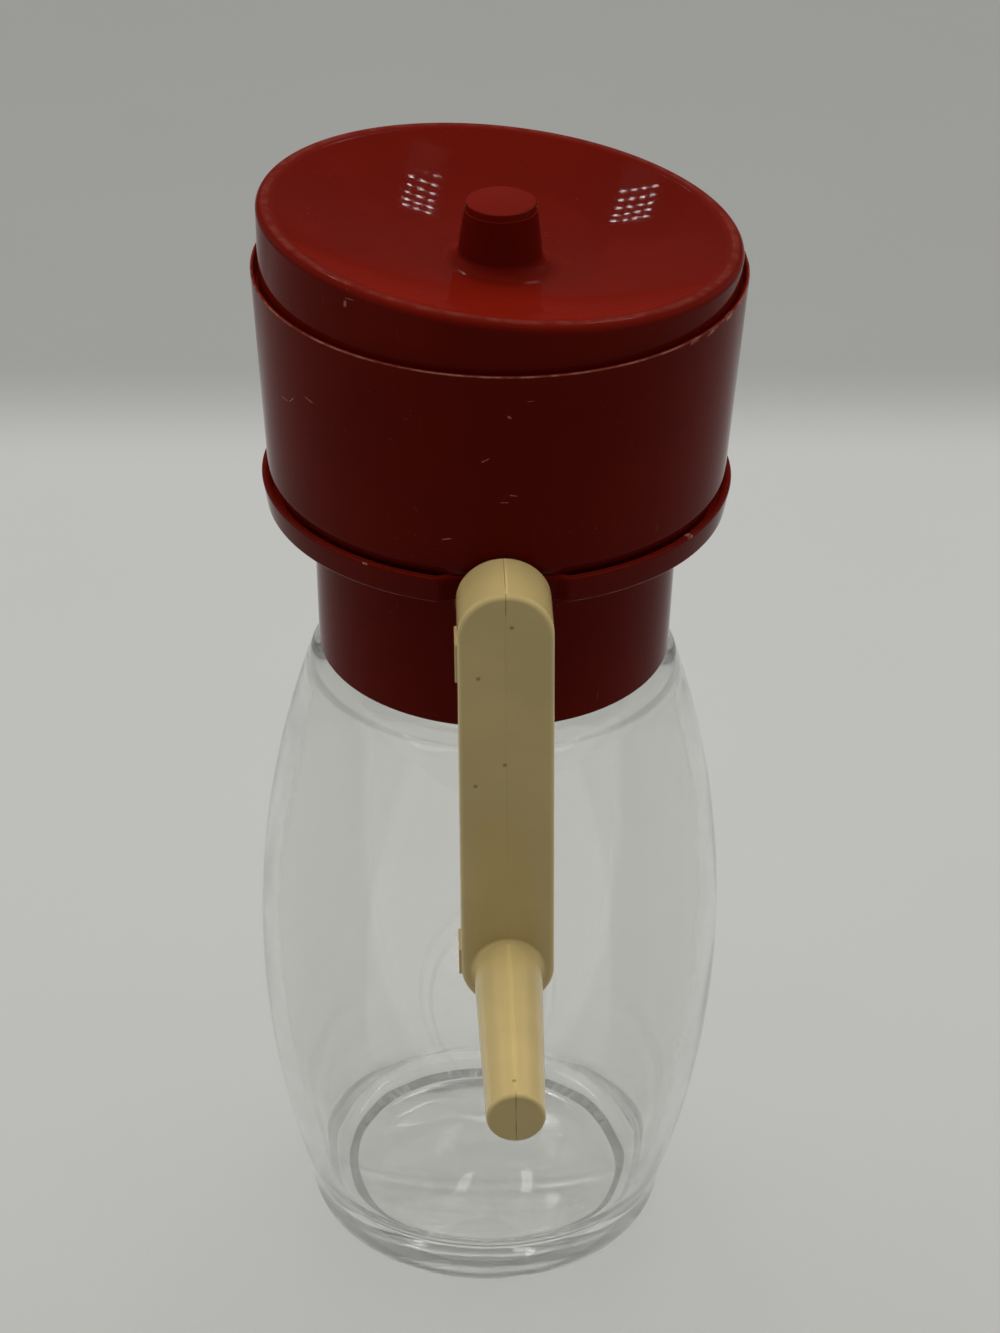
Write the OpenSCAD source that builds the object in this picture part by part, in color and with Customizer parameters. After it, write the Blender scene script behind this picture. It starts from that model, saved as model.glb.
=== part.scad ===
// Hand-cranked nut grinder: a glass jar, a screw-on grinding head with a hopper, and a slanted lid.
// The origin is on the table at the jar's axis, +Z is up and the crank is on the -Y side.

/* [Jar] */
// Largest radius of the glass barrel
jar_r = 41.3; // [38:0.1:44]
// Height of the widest point
belly_z = 61; // [54:0.5:68]
// Thickness of the glass side
glass_t = 3.2; // [2.4:0.1:4]
// Thickness of the glass base at its middle
base_t = 5.5; // [4:0.1:8]
// Radius of the rounded heel
heel_r = 4.5; // [3:0.1:6]
// Width of the flat ring that the jar stands on
foot_w = 2.6; // [1.5:0.1:4]
// Rise of the hollow under the base
punt_h = 2.6; // [1:0.1:4]
// Height of the shoulder, where the neck starts
shoulder_z = 120.2; // [116:0.1:124]
// Radius that rounds the shoulder
shoulder_r = 4; // [3:0.1:6]
// Radius that rounds the shoulder inside
inner_shoulder_r = 6; // [4:0.1:8]
// Radius that rounds the shoulder inside into the neck
throat_round = 3; // [2:0.1:4]
// Radius that rounds the base into the side, inside
inner_heel_r = 7; // [5:0.1:9]
// Outer radius of the neck under its thread
neck_r = 26.4; // [25.5:0.1:26.8]
// Fillet at the neck's root, where the shoulder ends
neck_fillet = 1.85; // [1.2:0.05:2.4]
// Height of the neck above the shoulder
neck_h = 17.3; // [14:0.1:18]
// Thickness of the neck
neck_t = 3.2; // [2.6:0.1:4]
// Thickness of the sealing ring on the lip
seal_t = 1; // [0.6:0.1:1.6]

/* [Screw collar] */
// Outer radius of the collar's lower edge
collar_r = 30.3; // [30:0.1:31.5]
// Outer radius of the collar under its flange ring
collar_top_r = 31.1; // [30.8:0.1:32.5]
// Height of the collar below the flange ring
collar_h = 28.5; // [26:0.1:31]
// Thickness of the collar's wall
collar_t = 2.1; // [1.6:0.1:2.3]
// Width of the ledge that presses on the sealing ring
ledge_w = 3.6; // [2.6:0.1:4]
// Thickness of that ledge
ledge_t = 2.4; // [1.6:0.1:3]
// Outer radius of the flange ring's top edge
ring_r = 39.8; // [39.3:0.1:40.4]
// Height of the flange ring
ring_h = 5.2; // [4.4:0.1:6]
// Thickness of the flange ring's upstanding edge
ring_t = 1.5; // [1:0.1:1.7]
// Draft of the flange ring's outside, over its height
ring_draft = 0.9; // [0.2:0.1:1.4]
// Thickness of the plate across the head
plate_t = 2.7; // [2:0.1:3.2]
// Depth by which the flange ring is set back behind the crank
setback = 2.2; // [1.4:0.1:2.6]
// Half width of the flat part of that set-back
setback_w = 7.9; // [7:0.1:9]
// Half width of the plate's opening, across the shaft
throat_x = 14.5; // [13:0.1:15]
// Half length of the plate's opening, along the shaft
throat_y = 22.8; // [22.5:0.1:24]

/* [Hopper] */
// Outer radius of the hopper's rim
hopper_r = 41; // [40.6:0.1:42]
// Outer radius of the hopper at the foot of its wall
hopper_low_r = 38.75; // [38.2:0.05:39]
// Height of the hopper above the plate
hopper_h = 40.1; // [36:0.1:45]
// Thickness of the hopper's wall
hopper_t = 2.2; // [1.8:0.1:2.6]
// Thickness of the thin rim round the lid, at its foot
rim_t = 0.4; // [0.3:0.05:0.6]
// Depth of the lid's seat below the rim
seat_d = 3.8; // [3:0.1:5]
// Radius that rounds the wall into the foot
foot_round = 5; // [3:0.1:5]
// Height of the floor's underside above the plate
floor_up = 5.2; // [5:0.1:6]
// Thickness of the floor at the throat
floor_t = 1.6; // [1.2:0.1:2.4]
// Rise of the floor from the throat to the wall
funnel_h = 4; // [2:0.1:6]
// Radius of the hole in the floor
hopper_throat_r = 26; // [25:0.1:27]

/* [Lid] */
// Radial clearance round the lid
lid_gap = 0.35; // [0.2:0.05:0.6]
// Height of the slanted rim at its middle, above the lid's seat
lid_h = 11.7; // [10.5:0.1:14]
// Slant of the rim, in degrees
lid_slope = 5.33; // [2:0.01:6]
// Turn of the slant's high side away from -X, in degrees
lid_turn = 9; // [0:1:30]
// Radius of the rounded rim
rim_round = 2.6; // [2:0.1:3]
// Thickness of the lid's skirt
skirt_t = 2.2; // [1.6:0.1:3]
// Depth of the dish below the rim
dish_d = 8.2; // [6:0.1:9]
// Thickness of the dish
dish_t = 2.2; // [1.6:0.1:2.4]
// Radius of the knob's flat top
knob_top_r = 5.6; // [4.5:0.1:7]
// Chamfer round the knob's top
knob_chamfer = 0.5; // [0.2:0.1:1]
// Height of the knob above the dish
knob_h = 11.2; // [8:0.1:14]
// Draft of the knob's side, in degrees
knob_draft = 6; // [2:0.5:9]
// Fillet round the knob's foot
knob_fillet = 2.6; // [1.5:0.1:3.5]
// Wall left round the hollow in the knob
knob_wall = 2.2; // [1.6:0.1:3]

/* [Crank] */
// Height of the shaft above the flange ring's underside
shaft_rise = 1.8; // [1.2:0.1:2]
// Angle at which the crank hangs off straight down, in degrees
hang_angle = 1.2; // [-5:0.1:5]
// Half width of the crank's hub and arm
arm_r = 7.75; // [7:0.05:8.5]
// Throw, from the shaft to the handle
throw = 65; // [55:0.5:75]
// Depth of the hub
hub_t = 12; // [11:0.1:14]
// Thickness of the arm
arm_t = 9; // [7:0.1:9.2]
// Radius of the arm's front edges
edge_r = 1; // [0.4:0.1:1.8]
// Radius of the handle at the arm
grip_r = 5.75; // [5:0.05:6.5]
// Radius of the handle at its end
grip_end_r = 4.75; // [4:0.05:5]
// Length of the handle
grip_l = 39.6; // [30:0.1:50]
// Fillet at the handle's root
grip_fillet = 0.8; // [0.4:0.1:1.2]
// Height of the raised pads on the arm's side
pad_h = 0.4; // [0.2:0.1:0.8]

/* [Rotor] */
// Radius of the shaft's front journal
journal_r = 3; // [2.9:0.05:3.2]
// Radius of the shaft's rear journal
rear_journal_r = 2; // [1.6:0.05:2]
// Side of the shaft's square
square_w = 4.2; // [4.1:0.05:4.2]
// Depth of the square socket in the hub
socket_d = 8.5; // [6:0.1:9.5]
// Radius swept by the star blades
blade_r = 11.5; // [10:0.1:12]
// Thickness of a star blade
blade_t = 1.2; // [0.8:0.1:1.6]
// Spacing of the star blades
blade_pitch = 7.5; // [7:0.05:7.6]
// Outer radius of the spacer sleeves
sleeve_r = 4.5; // [4:0.1:4.8]
// Thickness of the thrust washer
washer_t = 0.6; // [0.4:0.05:0.8]
// Thickness of the retaining clip
clip_t = 0.7; // [0.5:0.05:0.9]
// Wall of the bearing bushes
bush_t = 1.2; // [1:0.05:1.3]

/* [Combs] */
// Thickness of the stamped combs
comb_t = 1.5; // [1:0.1:1.8]
// Width of a tine of the coarse comb
coarse_w = 2; // [1.4:0.1:2.6]
// Width of a tine of the fine comb
fine_w = 1.1; // [0.8:0.1:1.2]
// Distance between the two fine tines in a gap, centre to centre
fine_pair = 2.6; // [2.2:0.1:2.8]
// Width of the combs' fixing strip
strip_w = 6; // [5.6:0.1:7]
// Radius of the comb screws' shanks
screw_r = 1.2; // [1:0.05:1.4]

/* [Clearances] */
// Gap between parts that turn or slide past each other
run_gap = 0.3; // [0.2:0.05:0.4]
// Radial clearance of a shaft in its bush, and of a piece in its socket
fit_gap = 0.05; // [0.02:0.01:0.08]
// Gap left under the collar's lower edge
collar_gap = 0.6; // [0.4:0.1:1]

/* [Hidden] */
$fn = 96;
blade_count = 5;
tine_count = 4;
// Overshoot of a cut, and the set-off between edges that would otherwise be flush
over = 1;
set_off = 0.5;
// Stack of heights from the table up
lip_z = shoulder_z + neck_h;
collar_z = shoulder_z + collar_gap;
ring_z = collar_z + collar_h;
plate_z = ring_z + plate_t;
shaft_z = ring_z + shaft_rise;
ledge_z = lip_z + seal_t + 2 * fit_gap;
floor_z = plate_z + floor_up;
hopper_z = plate_z + hopper_h;
seat_z = hopper_z - seat_d;
lid_z = seat_z + 2 * fit_gap;
rim_z = lid_z + lid_h;
// Bowed side of the barrel: its arc runs from the belly to the shoulder that the neck's fillet leaves
shoulder_cx = neck_r + neck_fillet;
shoulder_cz = shoulder_z - shoulder_r;
draw_in = jar_r - shoulder_cx;
side_r = (pow(draw_in, 2) + pow(shoulder_cz - belly_z, 2) - pow(shoulder_r, 2)) / (2 * (draw_in - shoulder_r));
// Radii that follow from their neighbours
neck_bore_r = neck_r - neck_t;
collar_bore_r = collar_r - collar_t;
rebate_r = min(hopper_r, wall_at(seat_z)) - rim_t;
lid_r = rebate_r - lid_gap;
foot_step = 1.75;
gutter_gap = 1.3;
foot_r = hopper_low_r - foot_step;
gutter_r = foot_r + gutter_gap;
// Positions along the shaft
flat_y = ring_r - setback;
hub_wall_r = max(hopper_low_r, wall_at(shaft_z + arm_r));
boss_front = max(flat_y + set_off, hub_wall_r - washer_t);
hub_back = boss_front + run_gap + washer_t;
hub_front = hub_back + hub_t;
rear_boss_end = foot_r - hopper_t - 2 * set_off;
bush_r = journal_r + fit_gap + bush_t;
rear_bush_r = rear_journal_r + fit_gap + bush_t;
boss_r = floor_z - shaft_z - set_off;
rear_bush_l = 8;
sleeve_bore_r = square_w * sqrt(0.5) + fit_gap;
stack_half = (blade_count - 1) / 2 * blade_pitch + blade_t / 2;
clip_w = 2.4;
groove_r = journal_r - 0.6;
shoulder_y = throat_y - 3 * run_gap - 2 * clip_t;
rear_stop = throat_y - set_off;
// Combs and their screws
tine_gap = 0.7;
tine_tip = sleeve_r + tine_gap;
strip_x = throat_x + set_off;
strip_half = stack_half + blade_pitch - blade_t;
screw_x = strip_x + strip_w / 2;
screw_l = 7;
screw_head_r = 2.5;
screw_y = strip_half - 2 * screw_head_r;
screw_head_h = 1.3;

// Points on an arc about c from angle a to angle b
function arc(c, r, a, b, n = 12) = [
    for (i = [0:n]) let (t = a + (b - a) * i / n) c + r * [cos(t), sin(t)]
];

// Radius of the barrel's bowed side at height z, drawn in by t
function side_at(z, t = 0) = jar_r - side_r + sqrt(pow(side_r - t, 2) - pow(z - belly_z, 2));

// Height on the barrel's bowed side where a line from its centre through p meets it
function side_z(p, t = 0) = let (c = [jar_r - side_r, belly_z]) c[1] + (side_r - t) * (p - c)[1] / norm(p - c);

// Angle at which the bowed side's centre sees the height z
function side_angle(z, t = 0) = asin((z - belly_z) / (side_r - t));

// Outer radius of the hopper's wall at height z
function wall_at(z) = hopper_low_r + (hopper_r - hopper_low_r) * (z - floor_z) / (hopper_z - floor_z);

// Solid of revolution about the jar's axis
module turned() {
    rotate_extrude($fn = 180) children();
}

// Places children in the shaft's frame: local Z runs along +Y and local Y points down
module on_shaft(y = 0, turn = 0) {
    translate([0, y, shaft_z]) rotate([0, -turn, 0]) rotate([-90, 0, 0]) children();
}

// Tube along the shaft from y0 to y1
module shaft_tube(y0, y1, r, bore) {
    on_shaft(y0) difference() {
        cylinder(r = r, h = y1 - y0);
        translate([0, 0, -over]) cylinder(r = bore, h = y1 - y0 + 2 * over);
    }
}

module jar() {
    cside = [jar_r - side_r, belly_z];
    // the heel swells a little out of the side's arc
    heel_top = heel_r + 2.5;
    heel_x = side_at(heel_top) - 0.2 - heel_r;
    shoulder_low = side_angle(side_z([shoulder_cx, shoulder_cz]));
    lip_round = 1.2;
    inner_r = side_r - glass_t;
    floor_in = punt_h + base_t;
    corner_z = floor_in + inner_heel_r;
    corner_x = cside[0] + sqrt(pow(inner_r - inner_heel_r, 2) - pow(corner_z - belly_z, 2));
    corner_top = side_angle(side_z([corner_x, corner_z], glass_t), glass_t);
    // inside, the shoulder runs into the neck in an S of two arcs that touch
    bowl_z = shoulder_z - glass_t - inner_shoulder_r;
    bowl_x = cside[0] + sqrt(pow(inner_r - inner_shoulder_r, 2) - pow(bowl_z - belly_z, 2));
    bowl_low = side_angle(side_z([bowl_x, bowl_z], glass_t), glass_t);
    throat_cx = neck_bore_r + throat_round;
    bowl_top = acos((throat_cx - bowl_x) / (inner_shoulder_r + throat_round));
    throat_cz = bowl_z + (inner_shoulder_r + throat_round) * sin(bowl_top);
    color("gainsboro", 0.5) turned() difference() {
        polygon(concat(
            [[0, 0]],
            arc([heel_x, heel_r], heel_r, -90, 0),
            arc(cside, side_r, side_angle(heel_top), shoulder_low, 40),
            arc([shoulder_cx, shoulder_cz], shoulder_r, shoulder_low, 90),
            arc([shoulder_cx, shoulder_z + neck_fillet], neck_fillet, 270, 180, 6),
            arc([neck_r - lip_round, lip_z - lip_round], lip_round, 0, 90, 6),
            [[0, lip_z]]
        ));
        polygon(concat(
            [[0, floor_in]],
            arc([corner_x, corner_z], inner_heel_r, -90, corner_top),
            arc(cside, inner_r, corner_top, bowl_low, 40),
            arc([bowl_x, bowl_z], inner_shoulder_r, bowl_low, bowl_top),
            arc([throat_cx, throat_cz], throat_round, 180 + bowl_top, 180, 6),
            [[neck_bore_r, lip_z + over], [0, lip_z + over]]
        ));
        punt_r = heel_x - foot_w;
        sphere_r = (pow(punt_r, 2) + pow(punt_h, 2)) / (2 * punt_h);
        translate([0, punt_h - sphere_r]) circle(r = sphere_r, $fn = 180);
        translate([-jar_r, -jar_r]) square([jar_r, 2 * jar_r]);
    }
}

module jar_seal() {
    color("ivory") turned() translate([neck_bore_r + run_gap, lip_z + fit_gap]) square([neck_t + 1, seal_t]);
}

// Soft step in plan: the flat set-back behind the crank runs out to the ring in an S on each side
module setback_plan(grow = 0) {
    run = 1.8;
    steps = 8;
    half = setback_w + grow;
    edge = [
        for (i = [0:steps]) let (t = i / steps)
            [half + run * t, -flat_y + grow - (setback + grow) * (1 - cos(180 * t)) / 2]
    ];
    outside = -ring_r - 4;
    polygon(concat(
        [[-half - run, outside], [half + run, outside]],
        [for (i = [steps:-1:0]) edge[i]],
        [for (p = edge) [-p[0], p[1]]]
    ));
}

module collar_profile() {
    top = ring_z + ring_h;
    bevel = 0.4;
    polygon([
        [0, plate_z], [0, ring_z],
        [collar_top_r - collar_t, ring_z], [collar_top_r - collar_t, ledge_z + ledge_t],
        [collar_bore_r - ledge_w, ledge_z + ledge_t], [collar_bore_r - ledge_w, ledge_z],
        [collar_bore_r, ledge_z],
        [collar_bore_r, collar_z], [collar_r - bevel, collar_z], [collar_r, collar_z + bevel],
        [collar_top_r, ring_z], [ring_r - ring_draft - bevel, ring_z], [ring_r - ring_draft, ring_z + bevel],
        [ring_r, top - bevel], [ring_r - bevel, top], [ring_r - ring_t, top],
        [min(gutter_r, ring_r - ring_t), plate_z]
    ]);
}

module collar_base() {
    wide_r = arm_r + 0.65;
    color("firebrick") difference() {
        union() {
            difference() {
                turned() collar_profile();
                translate([-throat_x, -throat_y, ring_z - over])
                    cube([2 * throat_x, 2 * throat_y, plate_t + 2 * over]);
                translate([0, 0, ring_z - over]) linear_extrude(ring_h + 2 * over) setback_plan();
            }
            // wall of the flange ring behind the crank
            translate([0, 0, ring_z]) linear_extrude(ring_h) intersection() {
                difference() {
                    setback_plan(ring_t);
                    setback_plan();
                }
                circle(r = ring_r - ring_draft);
            }
            // front bearing boss, wider below the ring
            on_shaft(-boss_front) cylinder(r = boss_r, h = boss_front - throat_y);
            on_shaft(-boss_front) linear_extrude(boss_front - collar_top_r + collar_t) intersection() {
                circle(r = wide_r);
                translate([-wide_r, shaft_rise - set_off]) square(2 * wide_r);
            }
            // rear bearing boss, blind
            on_shaft(throat_y) cylinder(r = boss_r, h = rear_boss_end - throat_y);
            // bosses for the comb screws
            for (x = [-screw_x, screw_x], y = [-screw_y, screw_y])
                translate([x, y, plate_z - screw_l]) cylinder(r = screw_r + 1.6, h = screw_l - plate_t / 2);
        }
        on_shaft(-boss_front - over) cylinder(r = bush_r + fit_gap, h = boss_front - throat_y + 2 * over);
        on_shaft(throat_y - over) cylinder(r = rear_bush_r + fit_gap, h = rear_bush_l + over);
        for (x = [-screw_x, screw_x], y = [-screw_y, screw_y])
            translate([x, y, plate_z - screw_l - over]) cylinder(r = screw_r + fit_gap, h = screw_l + 2 * over);
    }
}

module front_bush() {
    color("whitesmoke") shaft_tube(-boss_front, -throat_y, bush_r, journal_r + fit_gap);
}

module rear_bush() {
    color("whitesmoke") shaft_tube(throat_y, throat_y + rear_bush_l, rear_bush_r, rear_journal_r + fit_gap);
}

// One stamped comb on the +X side, with tines of width w at the offsets in each gap between blades
module comb(w, offsets) {
    translate([0, 0, plate_z]) linear_extrude(comb_t) difference() {
        union() {
            translate([strip_x, -strip_half]) square([strip_w, 2 * strip_half]);
            for (gap = [0:blade_count], shift = offsets) {
                y = (gap - blade_count / 2) * blade_pitch + shift;
                translate([tine_tip + w / 2, y - w / 2]) square([strip_x - tine_tip, w]);
                translate([tine_tip + w / 2, y]) circle(d = w, $fn = 32);
            }
        }
        for (y = [-screw_y, screw_y])
            translate([screw_x, y]) circle(r = screw_r + fit_gap);
    }
}

module comb_coarse() {
    color("silver") comb(coarse_w, [0]);
}

module comb_fine() {
    color("silver") mirror([1, 0, 0]) comb(fine_w, [-fine_pair / 2, fine_pair / 2]);
}

module comb_screws() {
    slot_w = 0.7;
    head_z = plate_z + comb_t;
    color("lightgrey") for (x = [-screw_x, screw_x], y = [-screw_y, screw_y]) translate([x, y]) difference() {
        union() {
            translate([0, 0, plate_z - screw_l]) cylinder(r = screw_r, h = screw_l + comb_t + 0.2);
            translate([0, 0, head_z]) cylinder(r1 = screw_head_r, r2 = screw_head_r - 0.5, h = screw_head_h);
        }
        translate([-screw_head_r - over, -slot_w / 2, head_z + screw_head_h / 2])
            cube([2 * (screw_head_r + over), slot_w, screw_head_h]);
    }
}

module hopper() {
    inner_low = floor_z + floor_t + funnel_h;
    round_c = [hopper_low_r - foot_round, floor_z];
    sweep = acos((foot_r - round_c[0]) / foot_round);
    notch_half = setback_w + 2.6;
    notch_y = flat_y - ring_t - run_gap;
    outside = max(hopper_r, hopper_low_r) + over;
    color("firebrick") difference() {
        turned() polygon(concat(
            [[foot_r - hopper_t, plate_z], [foot_r, plate_z]],
            arc(round_c, foot_round, -sweep, 0),
            [
                [hopper_r, hopper_z], [rebate_r, hopper_z], [rebate_r, seat_z],
                [wall_at(seat_z) - hopper_t, seat_z], [wall_at(inner_low) - hopper_t, inner_low + 1],
                [wall_at(inner_low) - hopper_t - 1, inner_low], [hopper_throat_r, floor_z + floor_t],
                [hopper_throat_r, floor_z], [foot_r - hopper_t, floor_z]
            ]
        ));
        // saddle over the front bearing boss, and the room for the set-back ring
        translate([-notch_half, -outside, plate_z - over])
            cube([2 * notch_half, outside - notch_y, ring_z + ring_h + run_gap - plate_z + over]);
        on_shaft(-outside) cylinder(r = boss_r + run_gap, h = outside - foot_r + hopper_t + 3);
    }
}

// Places children in the slanted plane of the lid's rim
module on_rim() {
    translate([0, 0, rim_z]) rotate([0, 0, lid_turn]) rotate([0, lid_slope, 0]) children();
}

module lid() {
    dish_edge = lid_r - rim_round;
    dish_sphere = (pow(dish_edge, 2) + pow(dish_d, 2)) / (2 * dish_d);
    dish_c = dish_sphere - dish_d;
    crown = 0.9;
    knob_z = rim_z - dish_d;
    knob_top = knob_z + knob_h;
    side_h = knob_h - knob_chamfer;
    knob_low_r = knob_top_r + knob_chamfer + side_h * tan(knob_draft);
    far = 2 * lid_r;
    fillet_c = [knob_low_r - 0.4 + knob_fillet, -dish_d + 0.4 + knob_fillet];
    color("firebrick") difference() {
        union() {
            difference() {
                // upright skirt under a slanted top with a rounded rim
                intersection() {
                    translate([0, 0, lid_z]) cylinder(r = lid_r, h = 2 * lid_h, $fn = 180);
                    on_rim() rotate_extrude($fn = 180) polygon(concat(
                        [[0, -far]], [[far, -far]], [[far, -rim_round]],
                        [[lid_r + crown, -rim_round]],
                        arc([lid_r + crown - rim_round, -rim_round], rim_round, 0, 90),
                        [[0, 0]]
                    ));
                }
                // dish
                on_rim() translate([0, 0, dish_c]) sphere(r = dish_sphere, $fn = 180);
                // hollow under the dish
                difference() {
                    translate([0, 0, lid_z - over]) cylinder(r = lid_r - skirt_t, h = 2 * lid_h, $fn = 180);
                    on_rim() translate([0, 0, dish_c]) sphere(r = dish_sphere + dish_t, $fn = 180);
                }
            }
            // fillet round the knob's foot
            on_rim() rotate_extrude() polygon(concat(
                [[0, -dish_d - dish_t / 2], [fillet_c[0], -dish_d - dish_t / 2]],
                arc(fillet_c, knob_fillet, -90, -180, 8),
                [[0, fillet_c[1]]]
            ));
            translate([0, 0, knob_z - dish_t / 2]) rotate_extrude() polygon([
                [0, 0], [knob_low_r, 0], [knob_low_r, dish_t / 2],
                [knob_top_r + knob_chamfer, dish_t / 2 + side_h], [knob_top_r, dish_t / 2 + knob_h],
                [0, dish_t / 2 + knob_h]
            ]);
        }
        // hollow in the knob, open below
        translate([0, 0, knob_z - dish_t - over]) cylinder(
            r1 = knob_low_r - knob_wall, r2 = knob_top_r - knob_wall, h = knob_h + dish_t + over - knob_wall
        );
    }
}

module rotor_shaft() {
    clip_y = throat_y - run_gap - clip_t;
    color("darkgray") difference() {
        union() {
            on_shaft(-hub_back, hang_angle) cylinder(r = journal_r, h = hub_back - shoulder_y);
            on_shaft(-hub_back - socket_d + run_gap, hang_angle) translate([-square_w / 2, -square_w / 2, 0])
                cube([square_w, square_w, socket_d]);
            on_shaft(-shoulder_y - over, hang_angle) translate([-square_w / 2, -square_w / 2, 0])
                cube([square_w, square_w, shoulder_y + over + rear_stop]);
            on_shaft(rear_stop - over) cylinder(r = rear_journal_r, h = throat_y + rear_bush_l - rear_stop);
        }
        shaft_tube(-clip_y - clip_t - fit_gap, -clip_y + fit_gap, journal_r + over, groove_r);
    }
}

// One star blade with square hole; every second one is punched half a tine round
module star_blade(i) {
    root_w = 4.6;
    tip_w = 2.4;
    tip_x = blade_r - tip_w / 2;
    tine_turn = i % 2 * 180 / tine_count;
    y = (i - (blade_count - 1) / 2) * blade_pitch - blade_t / 2;
    color("silver") on_shaft(y, hang_angle) linear_extrude(blade_t) difference() {
        union() {
            circle(r = sleeve_r + 0.6);
            for (k = [0:tine_count - 1]) rotate(tine_turn + 360 * k / tine_count) {
                polygon([[0, -root_w / 2], [tip_x, -tip_w / 2], [tip_x, tip_w / 2], [0, root_w / 2]]);
                translate([tip_x, 0]) circle(d = tip_w, $fn = 32);
            }
        }
        square(square_w + 2 * fit_gap, center = true);
    }
}

// Spacer sleeve i: between two blades, or from the end blade to its stop
module spacer(i) {
    first = -stack_half + (i - 1) * blade_pitch + blade_t;
    y0 = i == 0 ? -shoulder_y : first;
    y1 = i == 0 ? -stack_half : i == blade_count ? rear_stop : first + blade_pitch - blade_t;
    color("gray") shaft_tube(y0, y1, sleeve_r, sleeve_bore_r);
}

module retaining_clip() {
    clip_r = journal_r + clip_w;
    mouth = 1.4 * journal_r;
    color("dimgray") on_shaft(-throat_y + run_gap, hang_angle) linear_extrude(clip_t) difference() {
        circle(r = clip_r);
        circle(r = groove_r + fit_gap);
        translate([0, -mouth / 2]) square([2 * clip_r, mouth]);
    }
}

module thrust_washer() {
    color("whitesmoke") shaft_tube(-hub_back, -hub_back + washer_t, boss_r, journal_r + fit_gap);
}

// Half of the arm's section: width outwards, thickness t forwards, with a rounded front edge
module half_section(t) {
    difference() {
        square([arm_r, t]);
        translate([arm_r - edge_r, t - edge_r]) difference() {
            square(edge_r + over);
            circle(r = edge_r, $fn = 48);
        }
    }
}

module crank() {
    arm_back = hub_t - arm_t;
    pad_l = 7;
    low_pad_l = 5;
    tip_round = 0.5;
    slope = (grip_r - grip_end_r) / grip_l;
    color("wheat") on_shaft(-hub_back, hang_angle) mirror([0, 0, 1]) difference() {
        union() {
            // hub end, with the hub's full depth
            rotate(180) rotate_extrude(angle = 180) half_section(hub_t);
            cylinder(r = arm_r, h = arm_back + 1);
            translate([0, 0, arm_back]) {
                // arm
                rotate([-90, 0, 0]) linear_extrude(throw) mirror([0, 1]) {
                    half_section(arm_t);
                    mirror([1, 0]) half_section(arm_t);
                }
                // rounded lower end
                translate([0, throw, 0]) rotate_extrude(angle = 180) half_section(arm_t);
            }
            // handle
            translate([0, throw, hub_t - 1]) rotate_extrude() polygon(concat(
                [[0, 0], [grip_r + grip_fillet, 0]],
                [for (p = arc([grip_r + grip_fillet, 1 + grip_fillet], grip_fillet, 270, 180, 6)) p],
                [[grip_end_r + tip_round * slope, 1 + grip_l - tip_round]],
                arc([grip_end_r - tip_round, 1 + grip_l - tip_round], tip_round, 0, 90, 6),
                [[0, 1 + grip_l]]
            ));
            // raised pads on the side
            for (pad = [[arm_r * 0.3, pad_l], [throw - 3, low_pad_l]])
                translate([-arm_r - pad_h, pad[0], arm_back + edge_r])
                    cube([pad_h + over, pad[1], arm_t - 3 * edge_r]);
        }
        translate([0, 0, -over]) linear_extrude(socket_d + over) square(square_w + 2 * fit_gap, center = true);
    }
}

jar();
jar_seal();
collar_base();
front_bush();
rear_bush();
comb_coarse();
comb_fine();
comb_screws();
hopper();
lid();
rotor_shaft();
for (i = [0:blade_count - 1])
    star_blade(i);
for (i = [0:blade_count])
    spacer(i);
retaining_clip();
thrust_washer();
crank();
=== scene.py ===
"""Looks of a hand-cranked nut grinder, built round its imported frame.

The frame gives the sizes and the places. The five pieces that are seen from outside, the glass jar and the
four mouldings, are modelled again with rounded edges, screw threads and mould marks. The metal and small
plastic pieces of the mill inside stay as they are, and each gets a finish.
"""

import logging
import math
from collections.abc import Sequence
from dataclasses import dataclass, field
from enum import Enum

import bmesh
import bpy
from bmesh.types import BMEdge, BMesh, BMVert
from bpy.types import Material, NodeSocket, Object, World
from mathutils import Matrix, Vector


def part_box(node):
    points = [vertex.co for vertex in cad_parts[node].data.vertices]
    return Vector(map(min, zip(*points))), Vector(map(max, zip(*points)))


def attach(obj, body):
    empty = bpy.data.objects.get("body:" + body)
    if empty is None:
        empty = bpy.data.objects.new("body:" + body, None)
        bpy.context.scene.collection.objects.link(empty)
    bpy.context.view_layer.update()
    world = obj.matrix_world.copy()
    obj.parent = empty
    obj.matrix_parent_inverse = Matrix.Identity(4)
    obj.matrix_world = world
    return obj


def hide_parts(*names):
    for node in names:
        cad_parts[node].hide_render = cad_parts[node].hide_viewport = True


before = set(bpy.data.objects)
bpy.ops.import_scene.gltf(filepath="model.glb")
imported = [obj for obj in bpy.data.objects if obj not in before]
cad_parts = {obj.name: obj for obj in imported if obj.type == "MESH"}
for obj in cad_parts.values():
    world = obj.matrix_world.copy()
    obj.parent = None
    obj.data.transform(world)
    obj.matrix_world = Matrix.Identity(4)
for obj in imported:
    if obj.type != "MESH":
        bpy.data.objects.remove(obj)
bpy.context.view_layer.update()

MM = 0.001
LOG = logging.getLogger("nut_grinder")

# Distance at which two vertices of a turned mesh are one, in metres
MERGE = 0.002 * MM
# Difference at which two heights are the same, in millimetres
SAME = 1e-4
# Lap that keeps joined faces from lying on each other, in millimetres
LAP = 0.01
# Distances by which round walls stay inside the facets of the CAD, in millimetres
INSET = 0.03
FINE_INSET = 0.025
# Half angle from which a corner counts as straight
STRAIGHT = math.radians(89.5)
# Sides of a round bar
ROUND = 96

# Two or three measures, a corner of an outline with its rounding, and a colour
Point = tuple[float, float]
Triple = tuple[float, float, float]
Corner = tuple[float, float, float]
Colour = tuple[float, float, float]


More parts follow.
